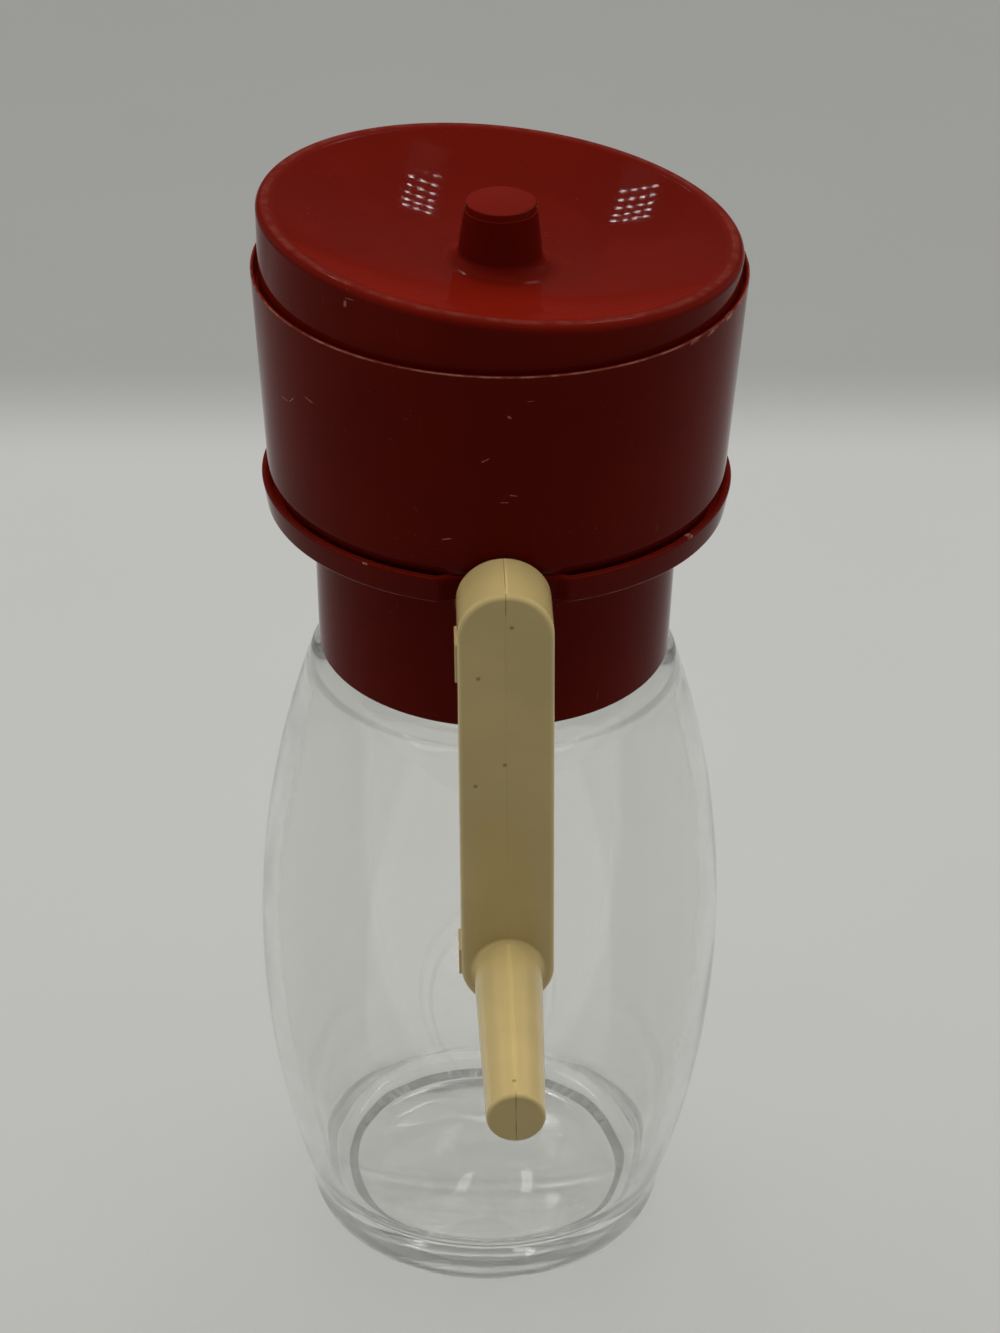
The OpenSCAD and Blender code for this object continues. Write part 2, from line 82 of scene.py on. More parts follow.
class Slot(Enum):
    """Material slots."""

    GLASS = "clear_glass"
    RED = "red_plastic"
    IVORY = "ivory_plastic"
    SEAL = "seal_ring"
    BUSH = "bush_plastic"
    BLADE = "blade_steel"
    COMB = "comb_steel"
    SLEEVE = "sleeve_steel"
    SHAFT = "shaft_steel"
    SCREW = "screw_steel"
    CLIP = "clip_steel"


class Body(Enum):
    """Bodies that the pieces ride on."""

    JAR = "jar"
    HEAD = "head"
    ROTOR = "rotor"
    LID = "lid"


class Cut(Enum):
    """Ways of joining a tool to a piece."""

    JOIN = "UNION"
    CARVE = "DIFFERENCE"


def low(node: str) -> Vector:
    """Lowest corner of a CAD node, in millimetres."""
    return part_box(node)[0] / MM


def high(node: str) -> Vector:
    """Highest corner of a CAD node, in millimetres."""
    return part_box(node)[1] / MM


def shaft_height() -> float:
    """Height of the crank's shaft, in millimetres."""
    return (low("front_bush").z + high("front_bush").z) / 2


def smooth(t: float) -> float:
    """Soft step from 0 to 1 while t runs from 0 to 1."""
    t = min(max(t, 0.0), 1.0)
    return t * t * (3 - 2 * t)


# Meshes


class Profile:
    """Outline of a turned piece as radii and heights, in millimetres."""

    def __init__(self) -> None:
        """Starts an empty outline."""
        self.points: list[Point] = []

    def to(self, *points: Point) -> "Profile":
        """Goes straight to each point and returns the outline."""
        self.points.extend(points)
        return self

    def rows(self, end: Point, spacing: float) -> "Profile":
        """Goes straight to a point in short steps, for a wall that is shaped afterwards.

        Args:
            end: Point to go to.
            spacing: Longest step.

        Returns:
            The outline.
        """
        start = self.points[-1]
        count = math.ceil(math.dist(start, end) / spacing)
        for step in range(1, count + 1):
            t = step / count
            self.points.append((start[0] + (end[0] - start[0]) * t, start[1] + (end[1] - start[1]) * t))
        return self

    def arc(self, centre: Point, radius: float, start: float, end: float, steps: int = 12) -> "Profile":
        """Adds an arc.

        Args:
            centre: Centre of the arc.
            radius: Radius of the arc.
            start: Angle of its first point, in degrees from the radius direction.
            end: Angle of its last point.
            steps: Number of chords.

        Returns:
            The outline.
        """
        for step in range(steps + 1):
            angle = math.radians(start + (end - start) * step / steps)
            self.points.append((centre[0] + radius * math.cos(angle), centre[1] + radius * math.sin(angle)))
        return self

    def corners(self, corners: Sequence[Corner], steps: int = 5) -> "Profile":
        """Adds straight stretches with a rounding at each corner but the first and the last.

        Args:
            corners: Radius, height and rounding of each corner.
            steps: Number of chords in a rounding.

        Returns:
            The outline.
        """
        self.points.append(corners[0][:2])
        for before, corner, after in zip(corners, corners[1:], corners[2:]):
            self._round(Vector(before[:2]), Vector(corner[:2]), Vector(after[:2]), corner[2], steps)
        self.points.append(corners[-1][:2])
        return self

    def _round(self, before: Vector, corner: Vector, after: Vector, radius: float, steps: int) -> None:
        """Adds one rounded corner, or the bare corner where the radius is 0.

        Args:
            before: Corner before it.
            corner: The corner.
            after: Corner after it.
            radius: Radius of the rounding.
            steps: Number of chords.
        """
        back, on = (before - corner).normalized(), (after - corner).normalized()
        half = back.angle(on) / 2
        if radius <= 0 or half > STRAIGHT:
            self.points.append((corner.x, corner.y))
            return
        centre = corner + (back + on).normalized() * (radius / math.sin(half))
        start = corner + back * (radius / math.tan(half)) - centre
        end = corner + on * (radius / math.tan(half)) - centre
        turn = math.atan2(start.cross(end), start.dot(end))
        for step in range(steps + 1):
            spoke = Matrix.Rotation(turn * step / steps, 2) @ start
            self.points.append((centre.x + spoke.x, centre.y + spoke.y))


@dataclass(frozen=True)
class ScrewThread:
    """Rounded ridge of a coarse jar thread, raised on rows of vertices of a turned wall.

    Attributes:
        wall_r: Radius of the wall that carries it.
        start_z: Height at which it starts.
        height: Height of the ridge, negative where it stands inwards.
        lead: Rise in a full turn.
        turns: Number of turns.
        half_width: Half width of the ridge.
        run_out: Share of a turn over which its ends fade out.
        hold: Distance from the wall within which a vertex belongs to it.
    """

    wall_r: float
    start_z: float
    height: float
    lead: float = 5.0
    turns: float = 1.5
    half_width: float = 1.1
    run_out: float = 0.12
    hold: float = 0.02

    def raise_on(self, bm: BMesh) -> None:
        """Moves the wall's vertices out to the ridge.

        Args:
            bm: Mesh with the wall, in metres.
        """
        for vert in bm.verts:
            radius, z = math.hypot(vert.co.x, vert.co.y) / MM, vert.co.z / MM
            if abs(radius - self.wall_r) > self.hold:
                continue
            part = math.atan2(vert.co.y, vert.co.x) / math.tau % 1.0
            turn = round((z - self.start_z) / self.lead - part) + part
            fade = smooth(turn / self.run_out) * smooth((self.turns - turn) / self.run_out)
            off = abs(z - self.start_z - self.lead * turn) / self.half_width
            grow = 1 + self.height * fade * smooth(1 - off) / radius
            vert.co.x *= grow
            vert.co.y *= grow


def turned(points: Sequence[Point], steps: int) -> BMesh:
    """Spins an outline a quarter turn about the jar's axis and mirrors it to the full turn.

    Args:
        points: Radii and heights, in millimetres. The outline closes on itself unless both its ends are on
            the axis.
        steps: Number of steps in the full turn, a multiple of 4.

    Returns:
        Closed mesh, in metres, with its faces pointing outwards.
    """
    bm = bmesh.new()
    verts = [bm.verts.new((r * MM, 0, z * MM)) for r, z in points]
    on_axis = points[0][0] == 0 and points[-1][0] == 0
    ends = verts[1:] if on_axis else verts[1:] + verts[:1]
    edges = [bm.edges.new(pair) for pair in zip(verts, ends)]
    bmesh.ops.spin(
        bm, geom=verts + edges, cent=(0, 0, 0), axis=(0, 0, 1), angle=math.tau / 4, steps=steps // 4
    )
    for axis in "XY":
        whole = bm.verts[:] + bm.edges[:] + bm.faces[:]
        bmesh.ops.mirror(bm, geom=whole, matrix=Matrix.Identity(4), merge_dist=MERGE, axis=axis)
    bmesh.ops.remove_doubles(bm, verts=bm.verts, dist=MERGE)
    bmesh.ops.recalc_face_normals(bm, faces=bm.faces)
    return bm


def soften(bm: BMesh, edges: Sequence[BMEdge], radius: float, segments: int = 3) -> None:
    """Rounds edges of a mesh.

    Args:
        bm: The mesh.
        edges: Edges to round.
        radius: Radius of the rounding.
        segments: Number of chords in it.
    """
    bmesh.ops.bevel(
        bm, geom=list(edges), offset=radius, segments=segments, profile=0.5, affect="EDGES", material=-1
    )


def rod(radius: float, start: float, end: float, edge: float = 0.0, segments: int = ROUND) -> BMesh:
    """Round bar along Z with rounded ends.

    Args:
        radius: Radius of the bar.
        start: Lower end.
        end: Upper end.
        edge: Rounding of its end edges.
        segments: Number of sides.

    Returns:
        Mesh of the bar, in millimetres.
    """
    bm = bmesh.new()
    bmesh.ops.create_cone(
        bm, cap_ends=True, segments=segments, radius1=radius, radius2=radius, depth=end - start,
        matrix=Matrix.Translation((0, 0, (start + end) / 2)),
    )
    if edge:
        soften(bm, [e for e in bm.edges if abs(e.verts[0].co.z - e.verts[1].co.z) < SAME], edge)
    return bm


def block(size: Triple, centre: Triple, edge: float = 0.0) -> BMesh:
    """Block with rounded edges.

    Args:
        size: Its three sides.
        centre: Its centre.
        edge: Rounding of its edges.

    Returns:
        Mesh of the block, in millimetres.
    """
    bm = bmesh.new()
    bmesh.ops.create_cube(bm, size=1.0, matrix=Matrix.Translation(centre) @ Matrix.Diagonal((*size, 1)))
    if edge:
        soften(bm, bm.edges, edge)
    return bm


def gather(*meshes: BMesh) -> BMesh:
    """Puts several meshes into the first one.

    Args:
        meshes: The meshes. All but the first are freed.

    Returns:
        The first mesh.
    """
    whole = meshes[0]
    for other in meshes[1:]:
        scrap = bpy.data.meshes.new("scrap")
        other.to_mesh(scrap)
        other.free()
        whole.from_mesh(scrap)
        bpy.data.meshes.remove(scrap)
    return whole


def placed(bm: BMesh, matrix: Matrix) -> BMesh:
    """Moves a mesh by a matrix and returns it."""
    bmesh.ops.transform(bm, matrix=matrix, verts=bm.verts)
    return bm


def in_metres(bm: BMesh, x: float = 0.0, y: float = 0.0) -> BMesh:
    """Moves a mesh along X and Y, in millimetres, scales it to metres and returns it."""
    return placed(bm, Matrix.Scale(MM, 4) @ Matrix.Translation((x, y, 0)))


def along_shaft(bm: BMesh) -> BMesh:
    """Lays a mesh made along Z, in millimetres, along +Y at the shaft's height, in metres."""
    lift = Matrix.Translation((0, 0, shaft_height() * MM))
    return placed(bm, lift @ Matrix.Rotation(-math.pi / 2, 4, "X") @ Matrix.Scale(MM, 4))


def as_object(bm: BMesh, name: str) -> Object:
    """Makes an object of a mesh and frees the mesh.

    Args:
        bm: Mesh in metres, in place.
        name: Name of the object.

    Returns:
        The object, in the scene.
    """
    mesh = bpy.data.meshes.new(name)
    bm.to_mesh(mesh)
    bm.free()
    made = bpy.data.objects.new(name, mesh)
    bpy.context.scene.collection.objects.link(made)
    return made


def work(piece: Object, tool: BMesh, cut: Cut) -> None:
    """Joins a tool to a piece or carves it out, and keeps only the result.

    Args:
        piece: Piece to work on.
        tool: Mesh of the tool, in metres.
        cut: What is done with it.
    """
    other = as_object(tool, "tool")
    step = piece.modifiers.new("work", "BOOLEAN")
    step.operation, step.solver, step.object = cut.value, "MANIFOLD", other
    shaped = bpy.data.meshes.new_from_object(piece.evaluated_get(bpy.context.evaluated_depsgraph_get()))
    old = piece.data
    piece.modifiers.clear()
    piece.data = shaped
    shaped.name = piece.name
    bpy.data.meshes.remove(old)
    bpy.data.objects.remove(other)


def polish(piece: Object, crease: float = 32.0, flats: bool = True) -> None:
    """Shades a piece smoothly up to an angle.

    Args:
        piece: Piece to shade.
        crease: Angle from which an edge stays sharp, in degrees.
        flats: Whether its flats are kept flat.
    """
    piece.data.shade_smooth()
    piece.data.set_sharp_from_angle(angle=math.radians(crease))
    if flats:
        piece.modifiers.new("flats", "WEIGHTED_NORMAL").keep_sharp = True


def enrol(piece: Object, node: str, body: Body, material: Material) -> None:
    """Dresses a new piece and lets it stand for its CAD node.

    Args:
        piece: The new piece.
        node: CAD node that it stands for.
        body: Body that it moves with.
        material: Its finish.
    """
    piece.data.materials.clear()
    piece.data.materials.append(material)
    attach(piece, body.value)
    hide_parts(node)


# Shaders


class Signal:
    """Value in a shader, with the sums that go on it."""

    def __init__(self, tree: "ShaderTree", socket: NodeSocket) -> None:
        """Wraps an output socket.

        Args:
            tree: Tree that the socket is in.
            socket: The socket.
        """
        self.tree, self.socket = tree, socket

    def sum(self, operation: str, *others: "Signal | float") -> "Signal":
        """Adds a Math node.

        Args:
            operation: Name of the node's operation.
            others: Its further inputs.

        Returns:
            The node's value.
        """
        return self.tree.node("ShaderNodeMath", {"operation": operation}, dict(enumerate((self, *others))))

    def __add__(self, other: "Signal | float") -> "Signal":
        """Sum."""
        return self.sum("ADD", other)

    def __sub__(self, other: "Signal | float") -> "Signal":
        """Difference."""
        return self.sum("SUBTRACT", other)

    def __rsub__(self, other: float) -> "Signal":
        """Difference from a number."""
        return self * -1 + other

    def __mul__(self, other: "Signal | float") -> "Signal":
        """Product."""
        return self.sum("MULTIPLY", other)

    __radd__ = __add__
    __rmul__ = __mul__

    def __abs__(self) -> "Signal":
        """Size without sign."""
        return self.sum("ABSOLUTE")

    def step(self, start: float, end: float) -> "Signal":
        """Soft step.

        Args:
            start: Value at which the step is 0.
            end: Value at which it is 1.

        Returns:
            The step, from 0 to 1.
        """
        settings = {"interpolation_type": "SMOOTHSTEP"}
        rising = start < end
        sockets = {"Value": self, "From Min": min(start, end), "From Max": max(start, end)}
        made = self.tree.node("ShaderNodeMapRange", settings, sockets, "Result")
        return made if rising else 1 - made


class ShaderTree:
    """Node tree of one finish, or of the light from all round."""

    # Numbers of the sockets with which a Mix node mixes colours
    MIX_FACTOR, MIX_FIRST, MIX_SECOND, MIX_RESULT = 0, 6, 7, 2

    def __init__(self, owner: Material | World) -> None:
        """Empties the tree of its owner.

        Args:
            owner: New material or world.
        """
        owner.use_nodes = True
        self.owner = owner
        self.tree = owner.node_tree
        self.tree.nodes.clear()

    @classmethod
    def finish(cls, name: str) -> "ShaderTree":
        """Starts a new material and returns its tree."""
        return cls(bpy.data.materials.new(name))

    def node(
        self,
        kind: str,
        settings: dict[str, object] | None = None,
        sockets: dict[str | int, object] | None = None,
        output: str | int = 0,
    ) -> Signal:
        """Adds a node.

        Args:
            kind: The node's type.
            settings: Its settings, set before its sockets.
            sockets: Values or links of its inputs.
            output: Output to hand on.

        Returns:
            That output.
        """
        made = self.tree.nodes.new(kind)
        for key, value in (settings or {}).items():
            setattr(made, key, value)
        for key, value in (sockets or {}).items():
            if isinstance(value, Signal):
                self.tree.links.new(value.socket, made.inputs[key])
            else:
                made.inputs[key].default_value = value
        return Signal(self, made.outputs[output])

    def place(self) -> tuple[Signal, Signal, Signal, Signal]:
        """Object coordinates, in millimetres.

        Returns:
            The position as a vector, and its x, y and z.
        """
        coordinates = self.node("ShaderNodeTexCoord", output="Object")
        scaled = {0: coordinates, "Scale": 1 / MM}
        position = self.node("ShaderNodeVectorMath", {"operation": "SCALE"}, scaled)
        parts = [self.node("ShaderNodeSeparateXYZ", {}, {0: position}, axis) for axis in range(3)]
        return position, *parts

    def noise(self, position: Signal, size: float, detail: float = 2.0, roughness: float = 0.5) -> Signal:
        """Noise pattern.

        Args:
            position: Where it is read.
            size: Size of its lumps, in millimetres.
            detail: Octaves of finer lumps.
            roughness: Share of the finer lumps.

        Returns:
            Value from about 0.2 to 0.8.
        """
        sockets = {"Vector": position, "Scale": 1 / size, "Detail": detail, "Roughness": roughness}
        return self.node("ShaderNodeTexNoise", {}, sockets, "Fac")

    def near(self, position: Signal, place: Triple, size: float) -> Signal:
        """Soft spot round a place.

        Args:
            position: Where it is read.
            place: Its middle, in millimetres.
            size: Its radius, in millimetres.

        Returns:
            1 in its middle and 0 outside.
        """
        away = self.node("ShaderNodeVectorMath", {"operation": "DISTANCE"}, {0: position, 1: place}, "Value")
        return away.step(size, size / 3)

    def stretched(self, position: Signal, scale: Triple, turn: Triple = (0.0, 0.0, 0.0)) -> Signal:
        """Position turned and then scaled along the axes, for patterns with a grain.

        Args:
            position: Position to change.
            scale: Factors along x, y and z.
            turn: Angles about x, y and z, in degrees.

        Returns:
            The changed position.
        """
        sockets = {"Vector": position, "Rotation": tuple(map(math.radians, turn)), "Scale": scale}
        return self.node("ShaderNodeMapping", {"vector_type": "POINT"}, sockets)

    def blend(self, factor: "Signal | float", first: "Signal | Colour", second: "Signal | Colour") -> Signal:
        """Mixes two colours.

        Args:
            factor: Share of the second colour.
            first: Colour at 0.
            second: Colour at 1.

        Returns:
            The mixed colour.
        """
        first, second = ((*c, 1.0) if isinstance(c, tuple) else c for c in (first, second))
        sockets = {self.MIX_FACTOR: factor, self.MIX_FIRST: first, self.MIX_SECOND: second}
        return self.node("ShaderNodeMix", {"data_type": "RGBA"}, sockets, self.MIX_RESULT)

    def bump(self, height: Signal, depth: float, strength: float = 1.0) -> Signal:
        """Surface normal of a relief.

        Args:
            height: Relief from 0 to 1.
            depth: Its depth, in millimetres.
            strength: Share of it that shows.

        Returns:
            The normal.
        """
        sockets = {"Height": height, "Distance": depth * MM, "Strength": strength}
        return self.node("ShaderNodeBump", {}, sockets)

    def surface(self, sockets: dict[str, object]) -> Material:
        """Ends the tree with a principled surface.

        Args:
            sockets: Values or links of the surface's inputs.

        Returns:
            The material.
        """
        return self.end(self.node("ShaderNodeBsdfPrincipled", {}, sockets))

    def end(self, shader: Signal) -> Material | World:
        """Ends the tree with a shader.

        Args:
            shader: The shader.

        Returns:
            The tree's owner.
        """
        kind = "World" if isinstance(self.owner, World) else "Material"
        made = self.tree.nodes.new("ShaderNodeOutput" + kind)
        self.tree.links.new(shader.socket, made.inputs["Surface"])
        return self.owner


def dimmed(colour: Colour, share: float) -> Colour:
    """Colour with a share of its brightness."""
    red, green, blue = colour
    return red * share, green * share, blue * share


@dataclass(frozen=True)
class Scar:
    """Short scratch or nick on a round wall.

    Attributes:
        angle: Bearing from the front, in degrees towards +X.
        down: Depth of its middle below the piece's edge, in millimetres.
        length: Its length, in millimetres.
        width: Its width, in millimetres.
        lean: Its slope from level, in degrees.
    """

    angle: float
    down: float
    length: float
    width: float = 0.25
    lean: float = 0.0

    def mask(self, bearing: Signal, z: Signal, radius: float, edge_z: float) -> Signal:
        """Mask of the scar.

        Args:
            bearing: Bearing of the surface from the front, in radians.
            z: Height of the surface, in millimetres.
            radius: Radius of the wall.
            edge_z: Height of the piece's edge.

        Returns:
            1 on the scar and 0 elsewhere.
        """
        along = bearing * radius + -math.radians(self.angle) * radius
        up = z - (edge_z - self.down)
        cos, sin = math.cos(math.radians(self.lean)), math.sin(math.radians(self.lean))
        far = abs(along * cos + up * sin).step(self.length / 2, self.length / 4)
        side = abs(up * cos - along * sin).step(self.width / 2, self.width / 8)
        return far * side


@dataclass(frozen=True)
class RedMoulding:
    """Dark red moulded plastic with handling marks, and pale painted highlights along some edges.

    Attributes:
        name: Name of the material.
        colour: Colour of the plastic.
        shade: Brightness of its darker clouds.
        worn_and_highlight: Colour of scratches, and of the pale painted highlights along edges.
        gloss: Roughness of the moulded skin.
        index: Refractive index, which sets how strongly it mirrors.
        scars: Scratches and nicks that are its own.
        scar_r: Radius of the wall that has them.
        edge_z: Height of the edge that they are measured from.
        highlight_rims: Radius, height on the axis and width of each edge that gets a pale painted highlight.
        tilt: Rise of those edges along X and Y.
        highlight_strength: Strength of that painted highlight.
        shaded_x: Half width behind the crank where the painted highlight is left out, as painted shade.
    """

    name: str
    colour: Colour = (0.11, 0.005, 0.0019)
    shade: float = 0.86
    worn_and_highlight: Colour = (0.42, 0.2, 0.15)
    gloss: float = 0.045
    index: float = 1.1
    scars: tuple[Scar, ...] = ()
    scar_r: float = 40.0
    edge_z: float = 0.0
    highlight_rims: tuple[Corner, ...] = ()
    tilt: Point = (0.0, 0.0)
    highlight_strength: float = 0.5
    shaded_x: float = 0.0

    def make(self) -> Material:
        """Builds the material.

        Returns:
            The material.
        """
        tree = ShaderTree.finish(self.name)
        position, x, y, z = tree.place()
        mottle = tree.noise(position, size=30, detail=3)
        dust = tree.noise(position, size=0.45, detail=1).step(0.72, 0.8)
        dusty = dust * tree.noise(position, size=14).step(0.5, 0.72)
        grain = tree.stretched(position, scale=(1.0, 1.0, 0.06), turn=(35, 20, 0))
        hair = tree.noise(grain, size=0.5, detail=1).step(0.74, 0.8)
        hairy = hair * tree.noise(position, size=22, detail=1).step(0.52, 0.7)
        marks = dusty * 0.3 + hairy * 0.12
        bearing = x.sum("ARCTAN2", y * -1)
        radius = (x * x + y * y).sum("SQRT")
        on_wall = abs(radius - self.scar_r).step(3.2, 2.6)
        broken = on_wall * (0.2 + 0.6 * tree.noise(position, size=0.6, detail=1).step(0.35, 0.6))
        for scar in self.scars:
            marks = marks.sum("MAXIMUM", scar.mask(bearing, z, self.scar_r, self.edge_z) * broken)
        # Painted highlight: pale patchy lines along the listed edges stand in for light caught by them, left
        # out behind the crank where shade falls
        painted_highlight = self.highlight_strength * (0.2 + 0.8 * tree.noise(position, size=2.5).step(0.35, 0.65))
        painted_highlight = painted_highlight * abs(x).step(self.shaded_x - 1, self.shaded_x)
        risen = z - x * self.tilt[0] - y * self.tilt[1]
        # From here marks holds the real marks and the painted highlights together
        for rim_r, rim_z, width in self.highlight_rims:
            off = abs(radius - rim_r).sum("MAXIMUM", abs(risen - rim_z))
            marks = marks.sum("MAXIMUM", off.step(width, width / 3) * painted_highlight)
        skin = tree.blend(mottle.step(0.3, 0.7), dimmed(self.colour, self.shade), self.colour)
        colour = tree.blend(marks, skin, self.worn_and_highlight)
        drawn = tree.stretched(position, scale=(1, 1, 0.4))
        smear = tree.noise(drawn, size=9, detail=4, roughness=0.6)
        rough = self.gloss + (smear - 0.5) * 0.03 + marks * 0.3
        relief = tree.noise(position, size=6, detail=1) * 0.12 - marks * 0.25
        return tree.surface(
            {
                "Base Color": colour,
                "Roughness": rough,
                "IOR": self.index,
                "Normal": tree.bump(relief, depth=0.06),
            }
        )


@dataclass(frozen=True)
class IvoryMoulding:
    """Ivory moulded plastic with a mould's parting line.

    Attributes:
        name: Name of the material.
        colour: Colour of the plastic.
        shade: Brightness of its darker clouds.
        grime: Colour of dirt in the parting line and of specks.
        gloss: Roughness of the moulded skin.
        line_w: Width of the parting line, in millimetres.
        hang: Angle of the crank off straight down, in degrees.
        pivot_z: Height of the shaft, in millimetres.
        front_y: Front face of the arm, in millimetres.
        index: Refractive index.
        hub_line: Heights above the shaft between which the line turns dark on the hub.
        end_line: Distances ahead of the arm between which it turns dark on the handle's end.
        speck_r: Radius of a dark speck in the plastic, in millimetres.
        specks: Places of the specks: across, ahead of the arm and above the shaft.
    """

    name: str
    hang: float
    pivot_z: float
    front_y: float
    colour: Colour = (0.585, 0.45, 0.192)
    shade: float = 0.92
    grime: Colour = (0.1, 0.065, 0.03)
    gloss: float = 0.08
    line_w: float = 0.22
    index: float = 1.45
    hub_line: Point = (3.5, 5.0)
    end_line: Point = (38.0, 39.4)
    speck_r: float = 0.5
    specks: tuple[Triple, ...] = (
        (0.9, 0.0, 1.9),
        (-4.3, 0.0, -7.6),
        (0.2, 0.0, -24.0),
        (-4.5, 0.0, -28.1),
        (1.1, 36.0, -60.2),
    )

    def make(self) -> Material:
        """Builds the material.

        Returns:
            The material.
        """
        tree = ShaderTree.finish(self.name)
        position, x, y, z = tree.place()
        turn = math.radians(self.hang)
        across = abs(x * math.cos(turn) + (z - self.pivot_z) * math.sin(turn))
        line = across.step(self.line_w / 2, self.line_w / 8)
        patchy = tree.noise(position, size=3.5).step(0.3, 0.62)
        hub_top = z.step(*(self.pivot_z + up for up in self.hub_line))
        end = y.step(*(self.front_y - ahead for ahead in self.end_line))
        dirt = line * (0.05 + 0.7 * hub_top.sum("MAXIMUM", end)) * (0.35 + 0.65 * patchy)
        for speck_x, ahead, up in self.specks:
            speck = (speck_x, self.front_y - ahead, self.pivot_z + up)
            dirt = dirt.sum("MAXIMUM", tree.near(position, speck, self.speck_r) * 0.6)
        tone = tree.noise(position, size=12, detail=3).step(0.3, 0.7)
        skin = tree.blend(tone, dimmed(self.colour, self.shade), self.colour)
        colour = tree.blend(dirt, skin, self.grime)
        rough = self.gloss + (tree.noise(position, size=6) - 0.5) * 0.06 + dirt * 0.2
        relief = tree.noise(position, size=9, detail=1) * 0.5 - line * 0.35
        return tree.surface(
            {
                "Base Color": colour,
                "Roughness": rough,
                "IOR": self.index,
                "Normal": tree.bump(relief, depth=0.08),
            }
        )


@dataclass(frozen=True)
class PressedGlass:
    """Clear pressed glass with a slight wave in it.

    Attributes:
        name: Name of the material.
        tint: Colour of the glass.
        clear: Share of light that goes straight through where it meets the wall square on.
        edge: That share where it grazes the wall.
        index: Refractive index.
        gloss: Roughness.
    """

    name: str
    tint: Colour = (0.985, 0.99, 0.975)
    clear: float = 0.15
    edge: float = 0.0
    index: float = 1.5
    gloss: float = 0.015

    def make(self) -> Material:
        """Builds the material.

        Returns:
            The material.
        """
        tree = ShaderTree.finish(self.name)
        position, *_ = tree.place()
        drawn = tree.stretched(position, scale=(1, 1, 0.5))
        wave = tree.noise(drawn, size=16, detail=1)
        solid = tree.node(
            "ShaderNodeBsdfPrincipled",
            {},
            {
                "Base Color": (*self.tint, 1),
                "Roughness": self.gloss,
                "IOR": self.index,
                "Transmission Weight": 1.0,
                "Normal": tree.bump(wave, depth=0.25),
            },
        )
        thin = tree.node("ShaderNodeBsdfTransparent", {}, {"Color": (*self.tint, 1)})
        grazing = tree.node("ShaderNodeLayerWeight", {}, {"Blend": 0.5}, "Facing").step(0.45, 0.95)
        share = self.clear - grazing * (self.clear - self.edge)
        return tree.end(tree.node("ShaderNodeMixShader", {}, {0: share, 1: solid, 2: thin}))


@dataclass(frozen=True)
class Steel:
    """Stamped or turned steel.

    Attributes:
        name: Name of the material.
        colour: Colour of the metal.
        gloss: Roughness.
        grain: Direction factors of the tool marks along x, y and z.
        shade: Brightness of stains.
    """

    name: str
    colour: Colour = (0.56, 0.56, 0.55)
    gloss: float = 0.3
    grain: Triple = (1.0, 1.0, 1.0)
    shade: float = 0.72

    def make(self) -> Material:
        """Builds the material.

        Returns:
            The material.
        """
        tree = ShaderTree.finish(self.name)
        position, *_ = tree.place()
        marks = tree.noise(tree.stretched(position, self.grain), size=1.2, detail=3)
        stain = tree.noise(position, size=5, detail=3).step(0.45, 0.75)
        return tree.surface(
            {
                "Base Color": tree.blend(stain, self.colour, dimmed(self.colour, self.shade)),
                "Metallic": 1.0,
                "Roughness": self.gloss + (marks - 0.5) * 0.3 + stain * 0.12,
                "Normal": tree.bump(marks, depth=0.03),
            }
        )


@dataclass(frozen=True)
class PlainPlastic:
    """Plain plastic or rubber of a small hidden piece.

    Attributes:
        name: Name of the material.
        colour: Colour of the plastic.
        gloss: Roughness.
        shade: Brightness of its darker clouds.
    """

    name: str
    colour: Colour
    gloss: float = 0.45
    shade: float = 0.88

    def make(self) -> Material:
        """Builds the material.

        Returns:
            The material.
        """
        tree = ShaderTree.finish(self.name)
        position, *_ = tree.place()
        cloud = tree.noise(position, size=4, detail=3)
        shaded = dimmed(self.colour, self.shade)
        return tree.surface(
            {
                "Base Color": tree.blend(cloud.step(0.3, 0.7), shaded, self.colour),
                "Roughness": self.gloss + (cloud - 0.5) * 0.15,
                "Normal": tree.bump(cloud, depth=0.03),
            }
        )


@dataclass(frozen=True)
class PaleBoard:
    """Pale matt board, glowing round the object as painted fill light, with painted shade behind it and far
    in front.

    Attributes:
        name: Name of the material.
        colour: Colour round the object.
        glow: Light that it sends out there by itself.
        painted_shade_colour: Darker colour behind it and far in front, as painted shade.
        painted_shade_glow: Weaker light that it sends out there, as painted shade.
        back_y: Distances between which the painted shade sets in behind the object, in millimetres.
        front_y: Distances between which the painted shade sets in far in front, in millimetres.
        gloss: Roughness.
        index: Refractive index, which sets how strongly it mirrors.
    """

    name: str
    colour: Colour = (0.13, 0.131, 0.126)
    glow: Colour = (0.35, 0.353, 0.34)
    painted_shade_colour: Colour = (0.08, 0.08, 0.078)
    painted_shade_glow: Colour = (0.235, 0.236, 0.226)
    back_y: Point = (281.0, 341.0)
    front_y: Point = (60.0, -420.0)
    gloss: float = 0.7
    index: float = 1.3

    def make(self) -> Material:
        """Builds the material.

        Returns:
            The material.
        """
        tree = ShaderTree.finish(self.name)
        position, _, y, _ = tree.place()
        cloud = tree.noise(position, size=60, detail=4).step(0.25, 0.75)
        # Painted shade: the board darkens behind the object and far in front, standing in for the dimmer
        # light there
        far = y.step(*self.back_y).sum("MAXIMUM", y.step(*self.front_y))
        colour = tree.blend(far, self.colour, self.painted_shade_colour)
        return tree.surface(
            {
                "Base Color": tree.blend(cloud * 0.04, colour, (0.0, 0.0, 0.0)),
                "Roughness": self.gloss,
                "IOR": self.index,
                # Painted fill light: the board glows by itself, which lightens the shadows round the object
                "Emission Color": tree.blend(far, self.glow, self.painted_shade_glow),
                "Emission Strength": 1.0,
            }
        )


# Pieces


